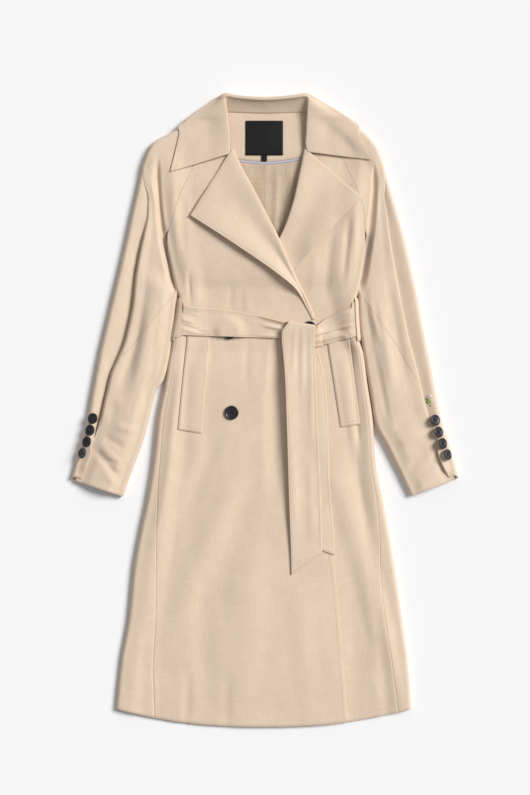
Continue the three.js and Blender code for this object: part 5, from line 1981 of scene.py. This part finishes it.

# Seams across the sleeves, from the armpit to the fold, drawn as thin dark lines: painted shade of the seam
# grooves.
sleeveSeams = {
    "sleeveRightFront": [[(-172, 208), (-200, 174), (-228, 138), (-246, 116), (-260, 101)]],
    "sleeveLeftFront": [[(186, 205), (204, 180), (222, 154), (246, 119), (266, 84), (282, 58)]],
}
work = newWork()
for name, lines in sleeveSeams.items():
    tree = castTree([grids[name]])
    for points in lines:
        addSeam(work, surfaceLine(tree, points, 4), half["cloth"] - 0.1, 0.4)
# The centre seam of the back lining, also a dark line of painted seam shade.
liningTree = castTree([grids["backLining"]])
addSeam(work, surfaceLine(liningTree, [(2, 300), (2, 380), (2, 452)], 4), half["cloth"] - 0.1, 0.35)
finishWork(work, "paintedSeamShadeLines", seamShadow)


# A small sprig of flowers in satin stitch on the sleeve of the wearer's left.
sprigSetup = {"x": 306.5, "y": 18.0, "size": 17.0}


def petal(cx, cy, angle, length, width, tree, height):
    points, faces = [], []
    rings, sides = 7, 8
    for i in range(rings + 1):
        share = i / rings
        wide = width * math.sin(math.pi * min(max(share, 0.04), 0.96)) ** 0.8
        for k in range(sides):
            turn = 2 * math.pi * k / sides
            along = share * length
            acrossTurn = wide * math.cos(turn)
            x = cx + along * math.cos(angle) - acrossTurn * math.sin(angle)
            y = cy + along * math.sin(angle) + acrossTurn * math.cos(angle)
            raised = height * (0.5 + 0.5 * math.sin(turn)) * (wide / width)
            z = heightOn(tree, x, y, 0, 14.0) + half["cloth"] + raised
            points.append((x, y, z))
    for i in range(rings):
        for k in range(sides):
            after = (k + 1) % sides
            a = i * sides
            faces.append((a + k, a + after, a + sides + after, a + sides + k))
    faces.append(tuple(reversed(range(sides))))
    faces.append(tuple(range(rings * sides, (rings + 1) * sides)))
    return points, faces


def sprigPart(name, material, petals, tree, height):
    points, faces = [], []
    for cx, cy, angle, length, width in petals:
        newPoints, newFaces = petal(
            sprigSetup["x"] + cx, sprigSetup["y"] + cy, math.radians(angle), length, width, tree, height,
        )
        start = len(points)
        points += newPoints
        faces += [tuple(v + start for v in face) for face in newFaces]
    mesh = bpy.data.meshes.new(name)
    mesh.from_pydata((np.array(points) * metresPerMm).tolist(), [], faces)
    mesh.update()
    return finishPiece(linkObject(name, mesh), material, [])


def blossom(cx, cy, size, turn):
    return [(cx, cy, turn + 72 * k, size, size * 0.4) for k in range(5)]


sprigTree = castTree([grids["sleeveLeftBack"], grids["sleeveLeftFront"]])
whiteFloss = threadMaterial("whiteFloss", (0.86, 0.84, 0.80, 1), (0.72, 0.66, 0.64, 1), 0.5)
pinkFloss = threadMaterial("pinkFloss", (0.80, 0.36, 0.42, 1), (0.66, 0.24, 0.32, 1), 0.5)
greenFloss = threadMaterial("greenFloss", (0.13, 0.33, 0.06, 1), (0.07, 0.22, 0.04, 1), 0.5)
stemFloss = threadMaterial("stemFloss", (0.42, 0.46, 0.10, 1), (0.30, 0.34, 0.07, 1), 0.5)
sprigParts = [
    sprigPart("sprigStem", stemFloss, [
        (-1.5, -8, 96, 6, 0.8), (-2.1, -2.4, 80, 6, 0.8), (-1.2, 3, 62, 4.6, 0.7), (-2.0, -2, 38, 4.4, 0.7),
    ], sprigTree, 0.5),
    sprigPart("sprigLeaves", greenFloss, [
        (-1.8, -4, 150, 6.0, 2.0), (-1.7, -5.2, 24, 5.2, 1.8), (-2, 0.8, 142, 5.2, 1.7), (0.8, -8.2, 300, 3.4, 1.2),
    ], sprigTree, 0.6),
    sprigPart(
        "sprigBlossoms", whiteFloss, blossom(1.6, 7.6, 3.8, 10) + blossom(4.2, 0.0, 3.2, 40), sprigTree, 0.7,
    ),
    sprigPart("sprigBuds", pinkFloss, [
        (-4.6, 6.0, 70, 3.0, 1.3), (0.8, 7.2, 20, 1.8, 1.1), (3.6, -0.4, 60, 1.6, 0.9), (-6.2, 3.4, 110, 2.4, 1.1),
    ], sprigTree, 0.9),
]
print("stitches and sprig ready")


# Floor, light and colour

stageSetup = {
    "floorSize": 80.0,
    "floorColour": (0.93, 0.93, 0.935, 1),
    "sunStrength": 3.2,
    "sunSpread": 26.0,
    "sunFrom": (1.08, 0.6, 1.12),
    "skyColour": (0.985, 0.99, 1.0, 1),
    "skyStrength": 0.315,
}


def makeStage(setup):
    mesh = bpy.data.meshes.new("paleFloor")
    size = setup["floorSize"] / 2
    mesh.from_pydata(
        [(-size, -size, -0.0004), (size, -size, -0.0004), (size, size, -0.0004), (-size, size, -0.0004)],
        [], [(0, 1, 2, 3)],
    )
    floor = linkObject("paleFloor", mesh)
    material, tree, shader = newMaterial("floorPaper")
    place = tree.nodes.new("ShaderNodeTexCoord")
    grain = noiseNode(tree, place.outputs["Object"], 3.0, 2.0)
    tree.links.new(mathNode(tree, "MULTIPLY_ADD", grain, 0.1, 0.8), shader.inputs["Roughness"])
    shader.inputs["Base Color"].default_value = setup["floorColour"]
    shader.inputs["Specular IOR Level"].default_value = 0.0
    mesh.materials.append(material)
    sun = bpy.data.lights.new("softKey", "SUN")
    sun.energy = setup["sunStrength"]
    sun.angle = math.radians(setup["sunSpread"])
    lamp = bpy.data.objects.new("softKey", sun)
    lamp.rotation_mode = "QUATERNION"
    lamp.rotation_quaternion = Vector(setup["sunFrom"]).to_track_quat("Z", "Y")
    bpy.context.scene.collection.objects.link(lamp)
    world = bpy.data.worlds.new("studioSky")
    world.use_nodes = True
    sky = world.node_tree.nodes["Background"]
    sky.inputs["Color"].default_value = setup["skyColour"]
    sky.inputs["Strength"].default_value = setup["skyStrength"]
    bpy.context.scene.world = world
    bpy.context.scene.view_settings.view_transform = "Standard"


makeStage(stageSetup)
